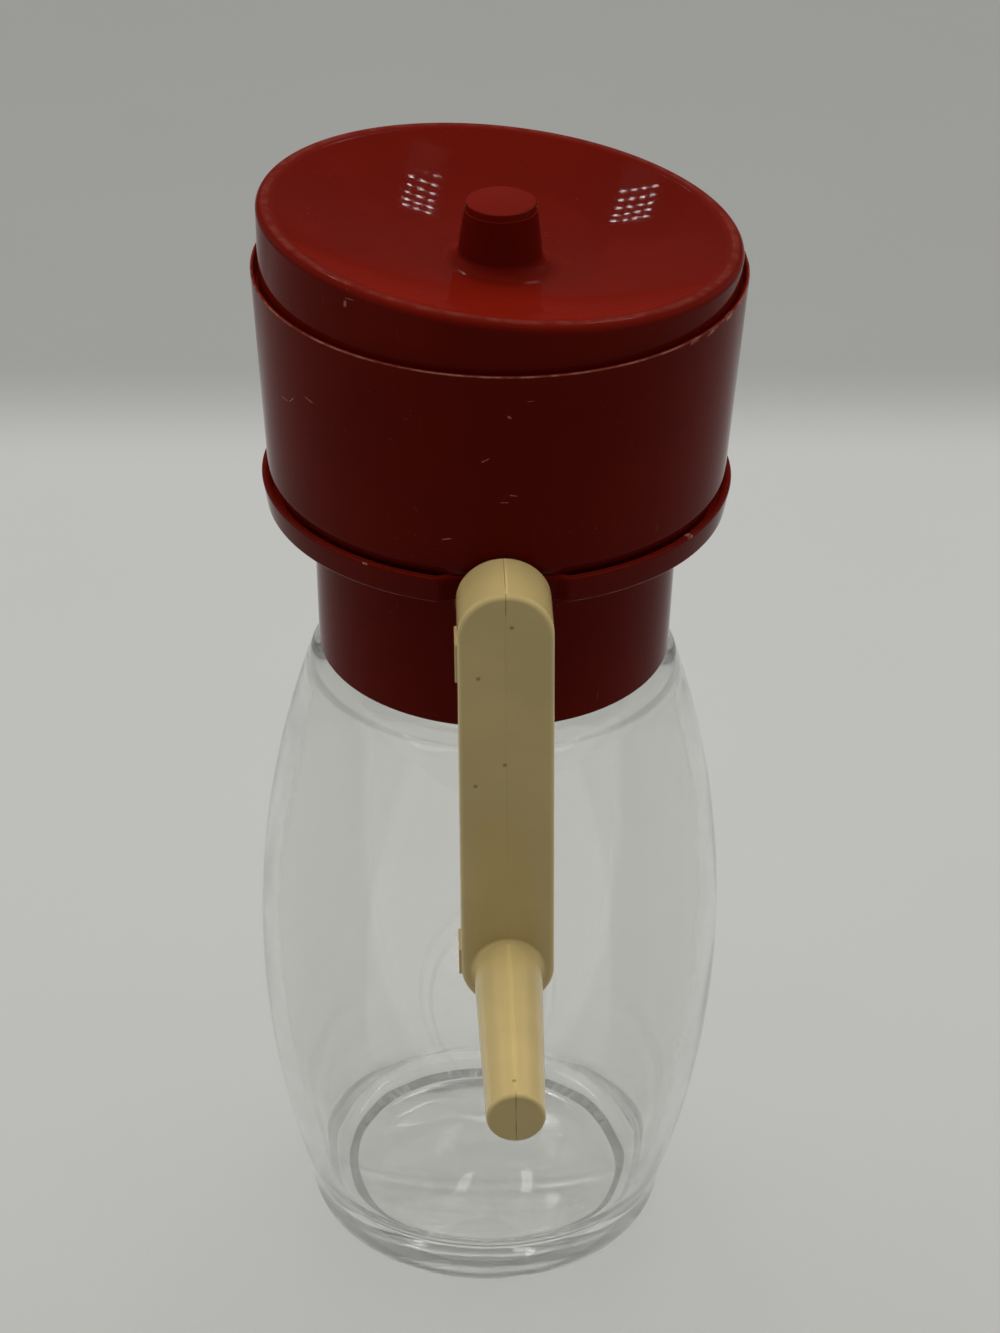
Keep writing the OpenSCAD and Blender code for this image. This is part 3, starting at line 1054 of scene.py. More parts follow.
@dataclass
class Jar:
    """Pressed glass jar: bowed barrel, thick base with a hollow under it, and a screw neck.

    Attributes:
        barrel_r: Largest radius.
        lip_z: Height of the lip.
        belly_z: Height of the widest point.
        shoulder_z: Height at which the neck starts.
        shoulder_r: Rounding of the shoulder.
        neck_r: Outer radius of the neck.
        neck_t: Thickness of the neck.
        neck_fillet: Fillet at the neck's root.
        lip_round: Rounding of the lip.
        glass_t: Thickness of the side.
        base_t: Thickness of the base at its middle.
        heel_r: Rounding of the heel.
        heel_up: Height over that rounding at which the side starts.
        heel_in: Step in from the side to the heel.
        foot_w: Width of the flat ring that it stands on.
        punt_h: Rise of the hollow under the base.
        inner_heel_r: Rounding inside, from the base to the side.
        inner_shoulder_r: Rounding inside the shoulder.
        throat_round: Rounding inside, from the shoulder to the neck.
        thread_up: Height over the neck's fillet at which the thread starts.
        thread_h: Height of the thread.
        row_h: Height of a row of vertices on the threaded wall.
        steps: Steps of the turned mesh.
    """

    barrel_r: float = field(default_factory=lambda: high("jar").x - FINE_INSET)
    lip_z: float = field(default_factory=lambda: high("jar").z)
    belly_z: float = 61.0
    shoulder_z: float = 120.2
    shoulder_r: float = 4.0
    neck_r: float = 26.4
    neck_t: float = 3.2
    neck_fillet: float = 1.85
    lip_round: float = 1.2
    glass_t: float = 3.2
    base_t: float = 5.5
    heel_r: float = 4.5
    heel_up: float = 2.5
    heel_in: float = 0.2
    foot_w: float = 2.6
    punt_h: float = 2.6
    inner_heel_r: float = 7.0
    inner_shoulder_r: float = 6.0
    throat_round: float = 3.0
    thread_up: float = 1.6
    thread_h: float = 1.2
    row_h: float = 0.4
    steps: int = 192

    def build(self, finish: Material) -> Object:
        """Models the jar and dresses it.

        Args:
            finish: Its glass.

        Returns:
            The jar.
        """
        bm = turned(self._outside().points + self._inside().points, self.steps)
        thread_z = self.shoulder_z + self.neck_fillet + self.thread_up
        ScrewThread(self.neck_r, thread_z, self.thread_h).raise_on(bm)
        bmesh.ops.recalc_face_normals(bm, faces=bm.faces)
        jar = as_object(bm, "jar_glass")
        polish(jar, crease=40, flats=False)
        enrol(jar, "jar", Body.JAR, finish)
        return jar

    def finish(self) -> PressedGlass:
        """Glass of the jar."""
        return PressedGlass("pressed_glass")

    def _side(self) -> tuple[Point, float]:
        """Arc of the bowed side, which runs into the shoulder's rounding.

        Returns:
            Its centre and its radius.
        """
        draw_in = self.barrel_r - self.neck_r - self.neck_fillet
        rise = self.shoulder_z - self.shoulder_r - self.belly_z
        radius = (draw_in**2 + rise**2 - self.shoulder_r**2) / (2 * (draw_in - self.shoulder_r))
        return (self.barrel_r - radius, self.belly_z), radius

    def _rounding(self, height: float, rounding: float, thickness: float) -> tuple[Point, float]:
        """Rounding that touches the side's arc from inside.

        Args:
            height: Height of the rounding's centre.
            rounding: Its radius.
            thickness: Depth of the arc behind the outside.

        Returns:
            Its centre, and the angle at which it meets the arc, in degrees.
        """
        centre, radius = self._side()
        reach = math.sqrt((radius - thickness - rounding) ** 2 - (height - self.belly_z) ** 2)
        angle = math.degrees(math.atan2(height - self.belly_z, reach))
        return (centre[0] + reach, height), angle

    def _outside(self) -> Profile:
        """Outline from the middle of the hollow base round the outside to the lip.

        Returns:
            The outline.
        """
        centre, radius = self._side()
        heel_top = self.heel_r + self.heel_up
        heel_angle = math.degrees(math.asin((heel_top - self.belly_z) / radius))
        heel_x = centre[0] + radius * math.cos(math.radians(heel_angle)) - self.heel_in - self.heel_r
        punt_r = heel_x - self.foot_w
        dome = (punt_r**2 + self.punt_h**2) / (2 * self.punt_h)
        spread = math.degrees(math.asin(punt_r / dome))
        _, shoulder = self._rounding(self.shoulder_z - self.shoulder_r, self.shoulder_r, 0)
        shoulder_x = self.neck_r + self.neck_fillet
        return (
            Profile()
            .to((0, self.punt_h))
            .arc((0, self.punt_h - dome), dome, 89, 90 - spread, 24)
            .arc((heel_x, self.heel_r), self.heel_r, -90, -2, 16)
            .arc(centre, radius, heel_angle, shoulder, 56)
            .arc((shoulder_x, self.shoulder_z - self.shoulder_r), self.shoulder_r, shoulder, 90, 14)
            .arc((shoulder_x, self.shoulder_z + self.neck_fillet), self.neck_fillet, 270, 180, 8)
            .rows((self.neck_r, self.lip_z - self.lip_round), self.row_h)
            .arc((self.neck_r - self.lip_round, self.lip_z - self.lip_round), self.lip_round, 0, 90, 8)
        )

    def _inside(self) -> Profile:
        """Outline from the lip down the inside to the middle of the base.

        Returns:
            The outline.
        """
        centre, radius = self._side()
        bore = self.neck_r - self.neck_t
        soft = self.lip_round * 0.6
        bowl, bowl_low = self._rounding(
            self.shoulder_z - self.glass_t - self.inner_shoulder_r, self.inner_shoulder_r, self.glass_t
        )
        floor = self.punt_h + self.base_t
        heel, heel_top = self._rounding(floor + self.inner_heel_r, self.inner_heel_r, self.glass_t)
        reach = self.inner_shoulder_r + self.throat_round
        bowl_top = math.degrees(math.acos((bore + self.throat_round - bowl[0]) / reach))
        throat = (bore + self.throat_round, bowl[1] + reach * math.sin(math.radians(bowl_top)))
        return (
            Profile()
            .arc((bore + soft, self.lip_z - soft), soft, 90, 180, 6)
            .arc(throat, self.throat_round, 180, 180 + bowl_top, 10)
            .arc(bowl, self.inner_shoulder_r, bowl_top, bowl_low, 14)
            .arc(centre, radius - self.glass_t, bowl_low, heel_top, 56)
            .arc(heel, self.inner_heel_r, heel_top, -90, 14)
            .to((0, floor))
        )


@dataclass
class Collar:
    """Red screw collar with the flange ring, the plate across the head and the bearing bosses.

    Attributes:
        foot_z: Height of its lower edge.
        ring_r: Outer radius of the flange ring's edge.
        plate_z: Height of the plate's upper side.
        plate_t: Thickness of the plate.
        shaft_z: Height of the shaft.
        ring_h: Height of the flange ring.
        ring_t: Thickness of the ring's upstanding edge.
        ring_draft: Draft of the ring's outside.
        collar_r: Outer radius at the lower edge.
        collar_top_r: Outer radius under the ring.
        wall_t: Thickness of the collar.
        ledge_z: Height of the ledge on the sealing ring.
        ledge_t: Thickness of that ledge.
        ledge_w: Width of that ledge.
        flat_y: Distance of the set-back flat behind the crank.
        flat_w: Half width of that flat.
        run: Width over which it runs out into the ring.
        throat: Half sides of the opening in the plate.
        boss_y: Front end of the front boss.
        boss_r: Radius of the bearing bosses.
        wide_r: Radius of the front boss below the ring.
        wide_gap: Gap between the ring and that wider part.
        bore_r: Radius of the front bush's bore.
        rear_bore_r: Radius of the rear bush's bore.
        rear_wall: Wall of the rear boss behind its bush.
        screw_boss_r: Radius of the bosses for the comb screws.
        screw_r: Radius of their holes.
        screw_head_r: Radius of the screws' heads.
        thread_up: Height over the lower edge at which the thread starts.
        thread_d: Height of the thread, inwards.
        thread_turns: Its number of turns.
        plain_h: Height of the plain wall below and above it.
        row_h: Height of a row of vertices on the threaded wall.
        over: Length by which a cutting tool passes through.
        steps: Steps of the turned mesh.
    """

    foot_z: float = field(default_factory=lambda: low("collar_base").z)
    ring_r: float = field(default_factory=lambda: high("collar_base").x - INSET)
    plate_z: float = field(default_factory=lambda: low("hopper").z)
    shaft_z: float = field(default_factory=shaft_height)
    plate_t: float = 2.7
    ring_h: float = 5.2
    ring_t: float = 1.5
    ring_draft: float = 0.9
    collar_r: float = 30.3
    collar_top_r: float = 31.1
    wall_t: float = 2.1
    ledge_z: float = 138.6
    ledge_t: float = 2.4
    ledge_w: float = 3.6
    flat_y: float = 37.6
    flat_w: float = 8.6
    run: float = 2.6
    throat: Point = (14.5, 22.8)
    boss_y: float = field(default_factory=lambda: -low("front_bush").y)
    boss_r: float = 5.6
    wide_r: float = 8.15
    wide_gap: float = 0.5
    bore_r: float = 4.3
    rear_bore_r: float = 3.3
    rear_wall: float = 3.0
    screw_boss_r: float = 2.8
    screw_r: float = 1.25
    screw_head_r: float = 2.5
    thread_up: float = 3.85
    thread_d: float = 1.3
    thread_turns: float = 1.8
    plain_h: float = 1.0
    row_h: float = 0.45
    over: float = 1.0
    steps: int = 576

    @property
    def ring_z(self) -> float:
        """Height of the flange ring's and the plate's underside."""
        return self.plate_z - self.plate_t

    @property
    def top_z(self) -> float:
        """Height of the flange ring's edge."""
        return self.ring_z + self.ring_h

    def build(self, finish: Material) -> Object:
        """Models the collar and dresses it.

        Args:
            finish: Its plastic.

        Returns:
            The collar.
        """
        bm = turned(self._outline().points, self.steps)
        self._set_back(bm)
        thread_z = self.foot_z + self.thread_up
        bore = self.collar_r - self.wall_t
        ScrewThread(bore, thread_z, -self.thread_d, turns=self.thread_turns).raise_on(bm)
        bmesh.ops.recalc_face_normals(bm, faces=bm.faces)
        collar = as_object(bm, "collar_shell")
        for boss in (self._front_boss(), self._wide_boss(), self._inner_bosses()):
            work(collar, boss, Cut.JOIN)
        for opening in (self._openings(), self._bores()):
            work(collar, opening, Cut.CARVE)
        polish(collar)
        enrol(collar, "collar_base", Body.HEAD, finish)
        return collar

    def _outline(self) -> Profile:
        """Outline from the plate's middle out to the ring, down the collar and back under the plate.

        Returns:
            The outline.
        """
        low_r = self.ring_r - self.ring_draft
        bore = self.collar_r - self.wall_t
        inner = self.collar_top_r - self.wall_t
        ledge_top = self.ledge_z + self.ledge_t
        gutter = self.ring_r - self.ring_t
        outline = Profile().corners(
            [
                (0, self.plate_z, 0),
                (gutter, self.plate_z, 0.4),
                (gutter, self.top_z, 0.85),
                (self.ring_r, self.top_z, 0.5),
                (low_r, self.ring_z, 0.7),
                (self.collar_top_r, self.ring_z, 0.6),
                (self.collar_r, self.foot_z, 0.5),
                (bore, self.foot_z, 0.4),
                (bore, self.foot_z + self.plain_h, 0),
            ]
        )
        outline.rows((bore, self.ledge_z - self.plain_h), self.row_h)
        return outline.corners(
            [
                (bore, self.ledge_z - 0.9 * self.plain_h, 0),
                (bore, self.ledge_z, 0.3),
                (bore - self.ledge_w, self.ledge_z, 0.3),
                (bore - self.ledge_w, ledge_top, 0.3),
                (inner, ledge_top, 0.5),
                (inner, self.ring_z, 0.5),
                (0, self.ring_z, 0),
            ]
        )

    def finish(self) -> RedMoulding:
        """Plastic of the collar, with painted highlights along the ring's edges.

        Returns:
            The finish.
        """
        low_r = self.ring_r - self.ring_draft
        return RedMoulding(
            "collar_red",
            scars=(Scar(51.7, 0.2, 1.5, 0.8), Scar(-34.2, 0.4, 1.2, 0.5)),
            scar_r=self.ring_r,
            edge_z=self.top_z,
            # Pale painted highlights on the ring's upper and lower edges, left out behind the crank as
            # painted shade
            highlight_rims=((self.ring_r, self.top_z, 0.25), (low_r, self.ring_z, 0.45)),
            shaded_x=self.flat_w + self.run,
        )

    def _set_back(self, bm: BMesh) -> None:
        """Draws the flange ring in behind the crank, where it is flat.

        Args:
            bm: Turned mesh of the collar.
        """
        for vert in bm.verts:
            x, y = vert.co.x / MM, vert.co.y / MM
            radius = math.hypot(x, y)
            if y > 0 or radius < self.ring_r - self.ring_t - 0.6:
                continue
            behind = self.ring_r - radius
            beside = math.sqrt(self.ring_r**2 - x**2)
            share = smooth((abs(x) - self.flat_w) / self.run)
            limit = self.flat_y + (beside - self.flat_y) * share - behind
            vert.co.y = -min(-y, limit) * MM

    def _front_boss(self) -> BMesh:
        """Mesh of the front bearing boss."""
        return along_shaft(rod(self.boss_r, -self.boss_y, -self.throat[1] - LAP, edge=0.3))

    def _wide_boss(self) -> BMesh:
        """Mesh of the front boss's wider lower half.

        Returns:
            The mesh, in metres.
        """
        bm = rod(self.wide_r, 2 * LAP - self.boss_y, self.wall_t - self.collar_top_r, edge=0.4)
        level = (0, self.shaft_z - self.ring_z - self.wide_gap, 0)
        whole = bm.verts[:] + bm.edges[:] + bm.faces[:]
        cut = bmesh.ops.bisect_plane(bm, geom=whole, plane_co=level, plane_no=(0, -1, 0), clear_outer=True)
        bmesh.ops.contextual_create(bm, geom=[part for part in cut["geom_cut"] if isinstance(part, BMEdge)])
        return along_shaft(bm)

    def _inner_bosses(self) -> BMesh:
        """Mesh of the rear bearing boss and the bosses for the comb screws.

        Returns:
            The mesh, in metres.
        """
        rear = rod(self.boss_r, self.throat[1] + LAP, high("rear_bush").y + self.rear_wall, edge=0.4)
        start, end = low("comb_screws").z, self.plate_z - self.plate_t / 2
        screws = [
            in_metres(rod(self.screw_boss_r, start, end, edge=0.3, segments=ROUND // 2), x, y)
            for x, y in self._screw_places()
        ]
        return gather(along_shaft(rear), *screws)

    def _screw_places(self) -> list[Point]:
        """Places of the comb screws on the plate, from the frame's screws."""
        right, back, _ = high("comb_screws") - Vector((self.screw_head_r, self.screw_head_r, 0))
        return [(x, y) for x in (-right, right) for y in (-back, back)]

    def _openings(self) -> BMesh:
        """Mesh of the plate's opening and the screw holes.

        Returns:
            The mesh, in metres.
        """
        wide, deep = self.throat
        opening = block((2 * wide, 2 * deep, 4 * self.plate_t), (0, 0, self.plate_z))
        start, end = low("comb_screws").z - self.over, self.plate_z + self.over
        holes = [
            in_metres(rod(self.screw_r, start, end, segments=ROUND // 3), x, y)
            for x, y in self._screw_places()
        ]
        return gather(in_metres(opening), *holes)

    def _bores(self) -> BMesh:
        """Mesh of the bores for the two bushes.

        Returns:
            The mesh, in metres.
        """
        deep = self.throat[1] - self.over
        front = rod(self.bore_r, -self.boss_y - self.over, -deep)
        rear = rod(self.rear_bore_r, deep, high("rear_bush").y)
        return along_shaft(gather(front, rear))


@dataclass
class Hopper:
    """Red tapered cup with a thin rim, seated in the flange ring.

    Attributes:
        foot_z: Height of its foot on the plate.
        rim_z: Height of the rim.
        rim_r: Outer radius of the rim.
        lid_z: Height of the lid's seat.
        low_r: Outer radius at the foot of the wall.
        foot_r: Outer radius of the foot.
        floor_up: Height of the floor over the foot.
        wall_t: Thickness of the wall.
        rim_t: Thickness of the thin rim at its foot.
        foot_round: Rounding from the wall to the foot.
        floor_t: Thickness of the floor.
        funnel_h: Rise of the floor to the wall.
        throat_r: Radius of the hole in the floor.
        saddle_r: Radius of the saddle over the front boss.
        notch: Half width and depth of the notch behind the crank.
        notch_top: Height of the notch over the foot.
        over: Length by which a cutting tool passes through.
        steps: Steps of the turned mesh.
    """

    foot_z: float = field(default_factory=lambda: low("hopper").z)
    rim_z: float = field(default_factory=lambda: high("hopper").z)
    rim_r: float = field(default_factory=lambda: high("hopper").x - FINE_INSET)
    lid_z: float = field(default_factory=lambda: low("lid").z - 0.1)
    low_r: float = 38.75
    foot_r: float = 37.0
    floor_up: float = 5.2
    wall_t: float = 2.2
    rim_t: float = 0.4
    foot_round: float = 5.0
    floor_t: float = 1.6
    funnel_h: float = 4.0
    throat_r: float = 26.0
    saddle_r: float = 5.9
    notch: Point = (10.5, 35.8)
    notch_top: float = 2.8
    over: float = 1.0
    steps: int = 360

    def build(self, finish: Material) -> Object:
        """Models the hopper and dresses it.

        Args:
            finish: Its plastic.

        Returns:
            The hopper.
        """
        hopper = as_object(turned(self._outline().points, self.steps), "hopper_cup")
        outside = self.rim_r + 2 * self.over
        wide, deep = self.notch
        notch = block(
            (2 * wide, outside - deep, self.notch_top + self.over),
            (0, -(outside + deep) / 2, self.foot_z + (self.notch_top - self.over) / 2),
        )
        saddle = rod(self.saddle_r, -outside, self.wall_t - self.foot_r + 3 * self.over)
        for opening in (in_metres(notch), along_shaft(saddle)):
            work(hopper, opening, Cut.CARVE)
        polish(hopper)
        enrol(hopper, "hopper", Body.HEAD, finish)
        return hopper

    def finish(self) -> RedMoulding:
        """Plastic of the hopper, scratched by handling, with a painted highlight along its rim.

        Returns:
            The finish.
        """
        return RedMoulding(
            "hopper_red",
            scars=(
                Scar(-61.3, 15.1, 2.8, lean=4),
                Scar(-58.0, 14.2, 2.3, lean=41),
                Scar(-50.9, 12.0, 2.7, lean=-10),
                Scar(0.5, 7.2, 0.8, 0.6, -46),
                Scar(-4.7, 15.2, 1.8, 0.3, 30),
                Scar(1.8, 21.7, 1.5, 0.3, -9),
                Scar(-0.3, 23.0, 1.7, 0.2),
                Scar(-13.7, 30.5, 2.2, 0.3, 12),
                Scar(5.2, 4.4, 1.6, 0.15, 4),
                Scar(47.0, 0.4, 2.4, 0.9),
                Scar(54.0, 0.5, 4.0, 0.7, 8),
                Scar(62.0, 0.4, 3.2, 1.0),
            ),
            scar_r=self.rim_r,
            edge_z=self.rim_z,
            # Pale painted highlight along the rim
            highlight_rims=((self.rim_r, self.rim_z, 0.3),),
        )

    def _wall(self, z: float) -> float:
        """Outer radius of the wall at a height."""
        floor = self.foot_z + self.floor_up
        return self.low_r + (self.rim_r - self.low_r) * (z - floor) / (self.rim_z - floor)

    def _outline(self) -> Profile:
        """Outline of the cup's wall, floor and foot.

        Returns:
            The outline, which closes on itself.
        """
        floor = self.foot_z + self.floor_up
        inner_low = floor + self.floor_t + self.funnel_h
        inner = self._wall(inner_low) - self.wall_t
        rebate = self._wall(self.lid_z) - self.rim_t
        centre = (self.low_r - self.foot_round, floor)
        sweep = math.degrees(math.acos((self.foot_r - centre[0]) / self.foot_round))
        outline = Profile().to((self.foot_r - self.wall_t, self.foot_z), (self.foot_r, self.foot_z))
        outline.arc(centre, self.foot_round, -sweep, 0, 10)
        return outline.corners(
            [
                (self._wall(floor + 0.5), floor + 0.5, 0),
                (self.rim_r, self.rim_z, 0.22),
                (rebate, self.rim_z, 0.22),
                (rebate, self.lid_z, 0.2),
                (self._wall(self.lid_z) - self.wall_t, self.lid_z, 0.35),
                (inner, inner_low, 1.6),
                (self.throat_r, floor + self.floor_t, 0.6),
                (self.throat_r, floor, 0.4),
                (self.foot_r - self.wall_t, floor, 0.4),
                (self.foot_r - self.wall_t, self.foot_z + 0.3, 0),
            ]
        )


@dataclass
class Lid:
    """Red wedge lid: upright skirt, slanted rounded rim, dished top and an upright hollow knob.

    Attributes:
        foot_z: Height of the skirt's lower edge.
        top_z: Highest point of the rim.
        skirt_r: Outer radius of the skirt under the rim.
        skirt_draft: Draft of the skirt.
        slope: Slant of the rim, in degrees.
        turn: Turn of the high side from -X towards -Y, in degrees.
        level_h: Height of the skirt's foot that stays level.
        full_d: Depth below the rim down to which the skirt has the whole slant.
        crest_in: Distance of the rim's crest from the skirt.
        rim_round: Rounding of the rim outside.
        lip_round: Rounding from the rim into the dish.
        dish_d: Depth of the dish.
        dish_t: Thickness of the dish.
        skirt_t: Thickness of the skirt.
        knob_top_z: Height of the knob's flat top.
        knob_top_r: Radius of that top.
        knob_bevel: Width and height of the steep bevel round that top.
        knob_ledge: Width of the fine ledge under the bevel.
        knob_low_r: Radius of the knob at the dish.
        knob_fillet: Fillet round the knob's foot.
        knob_wall: Thickness of the knob's wall.
        steps: Steps of the turned mesh.
    """

    foot_z: float = field(default_factory=lambda: low("lid").z)
    top_z: float = field(default_factory=lambda: high("lid").z)
    skirt_r: float = field(default_factory=lambda: high("lid").x - INSET)
    skirt_draft: float = 0.33
    slope: float = 5.33
    turn: float = 9.0
    level_h: float = 2.2
    full_d: float = 2.3
    crest_in: float = 1.5
    rim_round: float = 1.3
    lip_round: float = 1.1
    dish_d: float = 8.2
    dish_t: float = 2.2
    skirt_t: float = 2.2
    knob_top_z: float = 203.1
    knob_top_r: float = 5.75
    knob_bevel: Point = (0.2, 1.1)
    knob_ledge: float = 0.15
    knob_low_r: float = 7.2
    knob_fillet: float = 2.6
    knob_wall: float = 2.2
    steps: int = 360

    def build(self, finish: Material) -> Object:
        """Models the lid and dresses it.

        Args:
            finish: Its plastic.

        Returns:
            The lid.
        """
        bm = turned(self._outline().points, self.steps)
        self._slant(bm)
        lid = as_object(bm, "lid_shell")
        polish(lid, crease=40)
        enrol(lid, "lid", Body.LID, finish)
        return lid

    def finish(self) -> RedMoulding:
        """Plastic of the lid, with a nick under its rim and a faint painted highlight along the rim's crest.

        Returns:
            The finish.
        """
        fall, turn = math.tan(math.radians(self.slope)), math.radians(self.turn)
        return RedMoulding(
            "lid_red",
            scars=(Scar(-39.2, 3.87, 1.5, 0.8, 80), Scar(-37.8, 2.77, 2.0, lean=3)),
            scar_r=self.skirt_r,
            edge_z=self.top_z,
            # Faint pale painted highlight along the rim's crest
            highlight_rims=((self.skirt_r - self.crest_in, self.rim_z, 0.9),),
            tilt=(-fall * math.cos(turn), -fall * math.sin(turn)),
            highlight_strength=0.07,
        )

    @property
    def rim_z(self) -> float:
        """Height of the rim's plane on the axis."""
        return self.top_z - math.tan(math.radians(self.slope)) * (self.skirt_r - self.crest_in) - 2 * LAP

    def _outline(self) -> Profile:
        """Outline of the lid before its top is slanted.

        Returns:
            The outline, from the knob's top over the dish, the rim and the skirt back under the dish.
        """
        dish_r = self.skirt_r - self.crest_in - self.lip_round * 0.9
        dish_z = self.rim_z - self.dish_d
        ball = (dish_r**2 + self.dish_d**2) / (2 * self.dish_d)
        centre = (0.0, dish_z + ball)
        edge = -90 + math.degrees(math.asin(dish_r / ball))
        foot = -90 + math.degrees(math.asin((self.knob_low_r + self.knob_fillet) / ball))
        under = ball + self.dish_t
        inner_r = self.skirt_r - self.skirt_t
        under_edge = -90 + math.degrees(math.asin((inner_r - 1.2) / under))
        hollow_r = self.knob_low_r - self.knob_wall
        under_foot = -90 + math.degrees(math.asin((hollow_r + 0.5) / under))
        dish_foot = (ball * math.cos(math.radians(foot)), centre[1] + ball * math.sin(math.radians(foot)))
        bevel_r = self.knob_top_r + self.knob_bevel[0]
        bevel_z = self.knob_top_z - self.knob_bevel[1]
        rim = (dish_r + self.lip_round * 0.75, self.rim_z)
        outline = Profile().corners(
            [
                (0, self.knob_top_z, 0),
                (self.knob_top_r, self.knob_top_z, 0.15),
                (bevel_r, bevel_z, 0),
                (bevel_r + self.knob_ledge, bevel_z - 0.04, 0.1),
                (self.knob_low_r, dish_z + 0.2 * self.knob_fillet, self.knob_fillet),
                (*dish_foot, 0),
            ],
            9,
        )
        outline.arc(centre, ball, foot + 0.5, edge - 0.4, 36)
        outline.corners(
            [
                (dish_r - 0.2, self.rim_z - 0.1, 0),
                (*rim, self.lip_round * 0.4),
                (self.skirt_r, self.rim_z, self.rim_round),
                (self.skirt_r - self.skirt_draft, self.foot_z, 0.3),
                (inner_r, self.foot_z, 0.3),
                (inner_r, self.foot_z + 2.0, 0),
            ],
            8,
        )
        outline.arc(centre, under, under_edge, under_foot, 24)
        return outline.corners(
            [
                (hollow_r, dish_z - self.dish_t + 0.6, 0),
                (self.knob_top_r - self.knob_wall, self.knob_top_z - self.knob_wall, 0.8),
                (0, self.knob_top_z - self.knob_wall, 0),
            ]
        )

    def _slant(self, bm: BMesh) -> None:
        """Slants the rim and the dish, while the skirt's foot stays level and the knob upright.

        Args:
            bm: Turned mesh of the lid.
        """
        fall = math.tan(math.radians(self.slope))
        turn = math.radians(self.turn)
        dish_z = self.rim_z - self.dish_d
        inner_r = self.skirt_r - self.skirt_t - 5 * LAP
        rise = self.rim_z - self.full_d - self.foot_z - self.level_h
        for vert in bm.verts:
            x, y, z = vert.co / MM
            radius = math.hypot(x, y)
            if radius > inner_r:
                share = smooth((z - self.foot_z - self.level_h) / rise)
            elif radius > self.knob_low_r + self.knob_fillet:
                share = 1.0
            else:
                share = 1 - smooth((z - dish_z) / (1.6 * self.knob_fillet))
            vert.co.z += -fall * (x * math.cos(turn) + y * math.sin(turn)) * share * MM


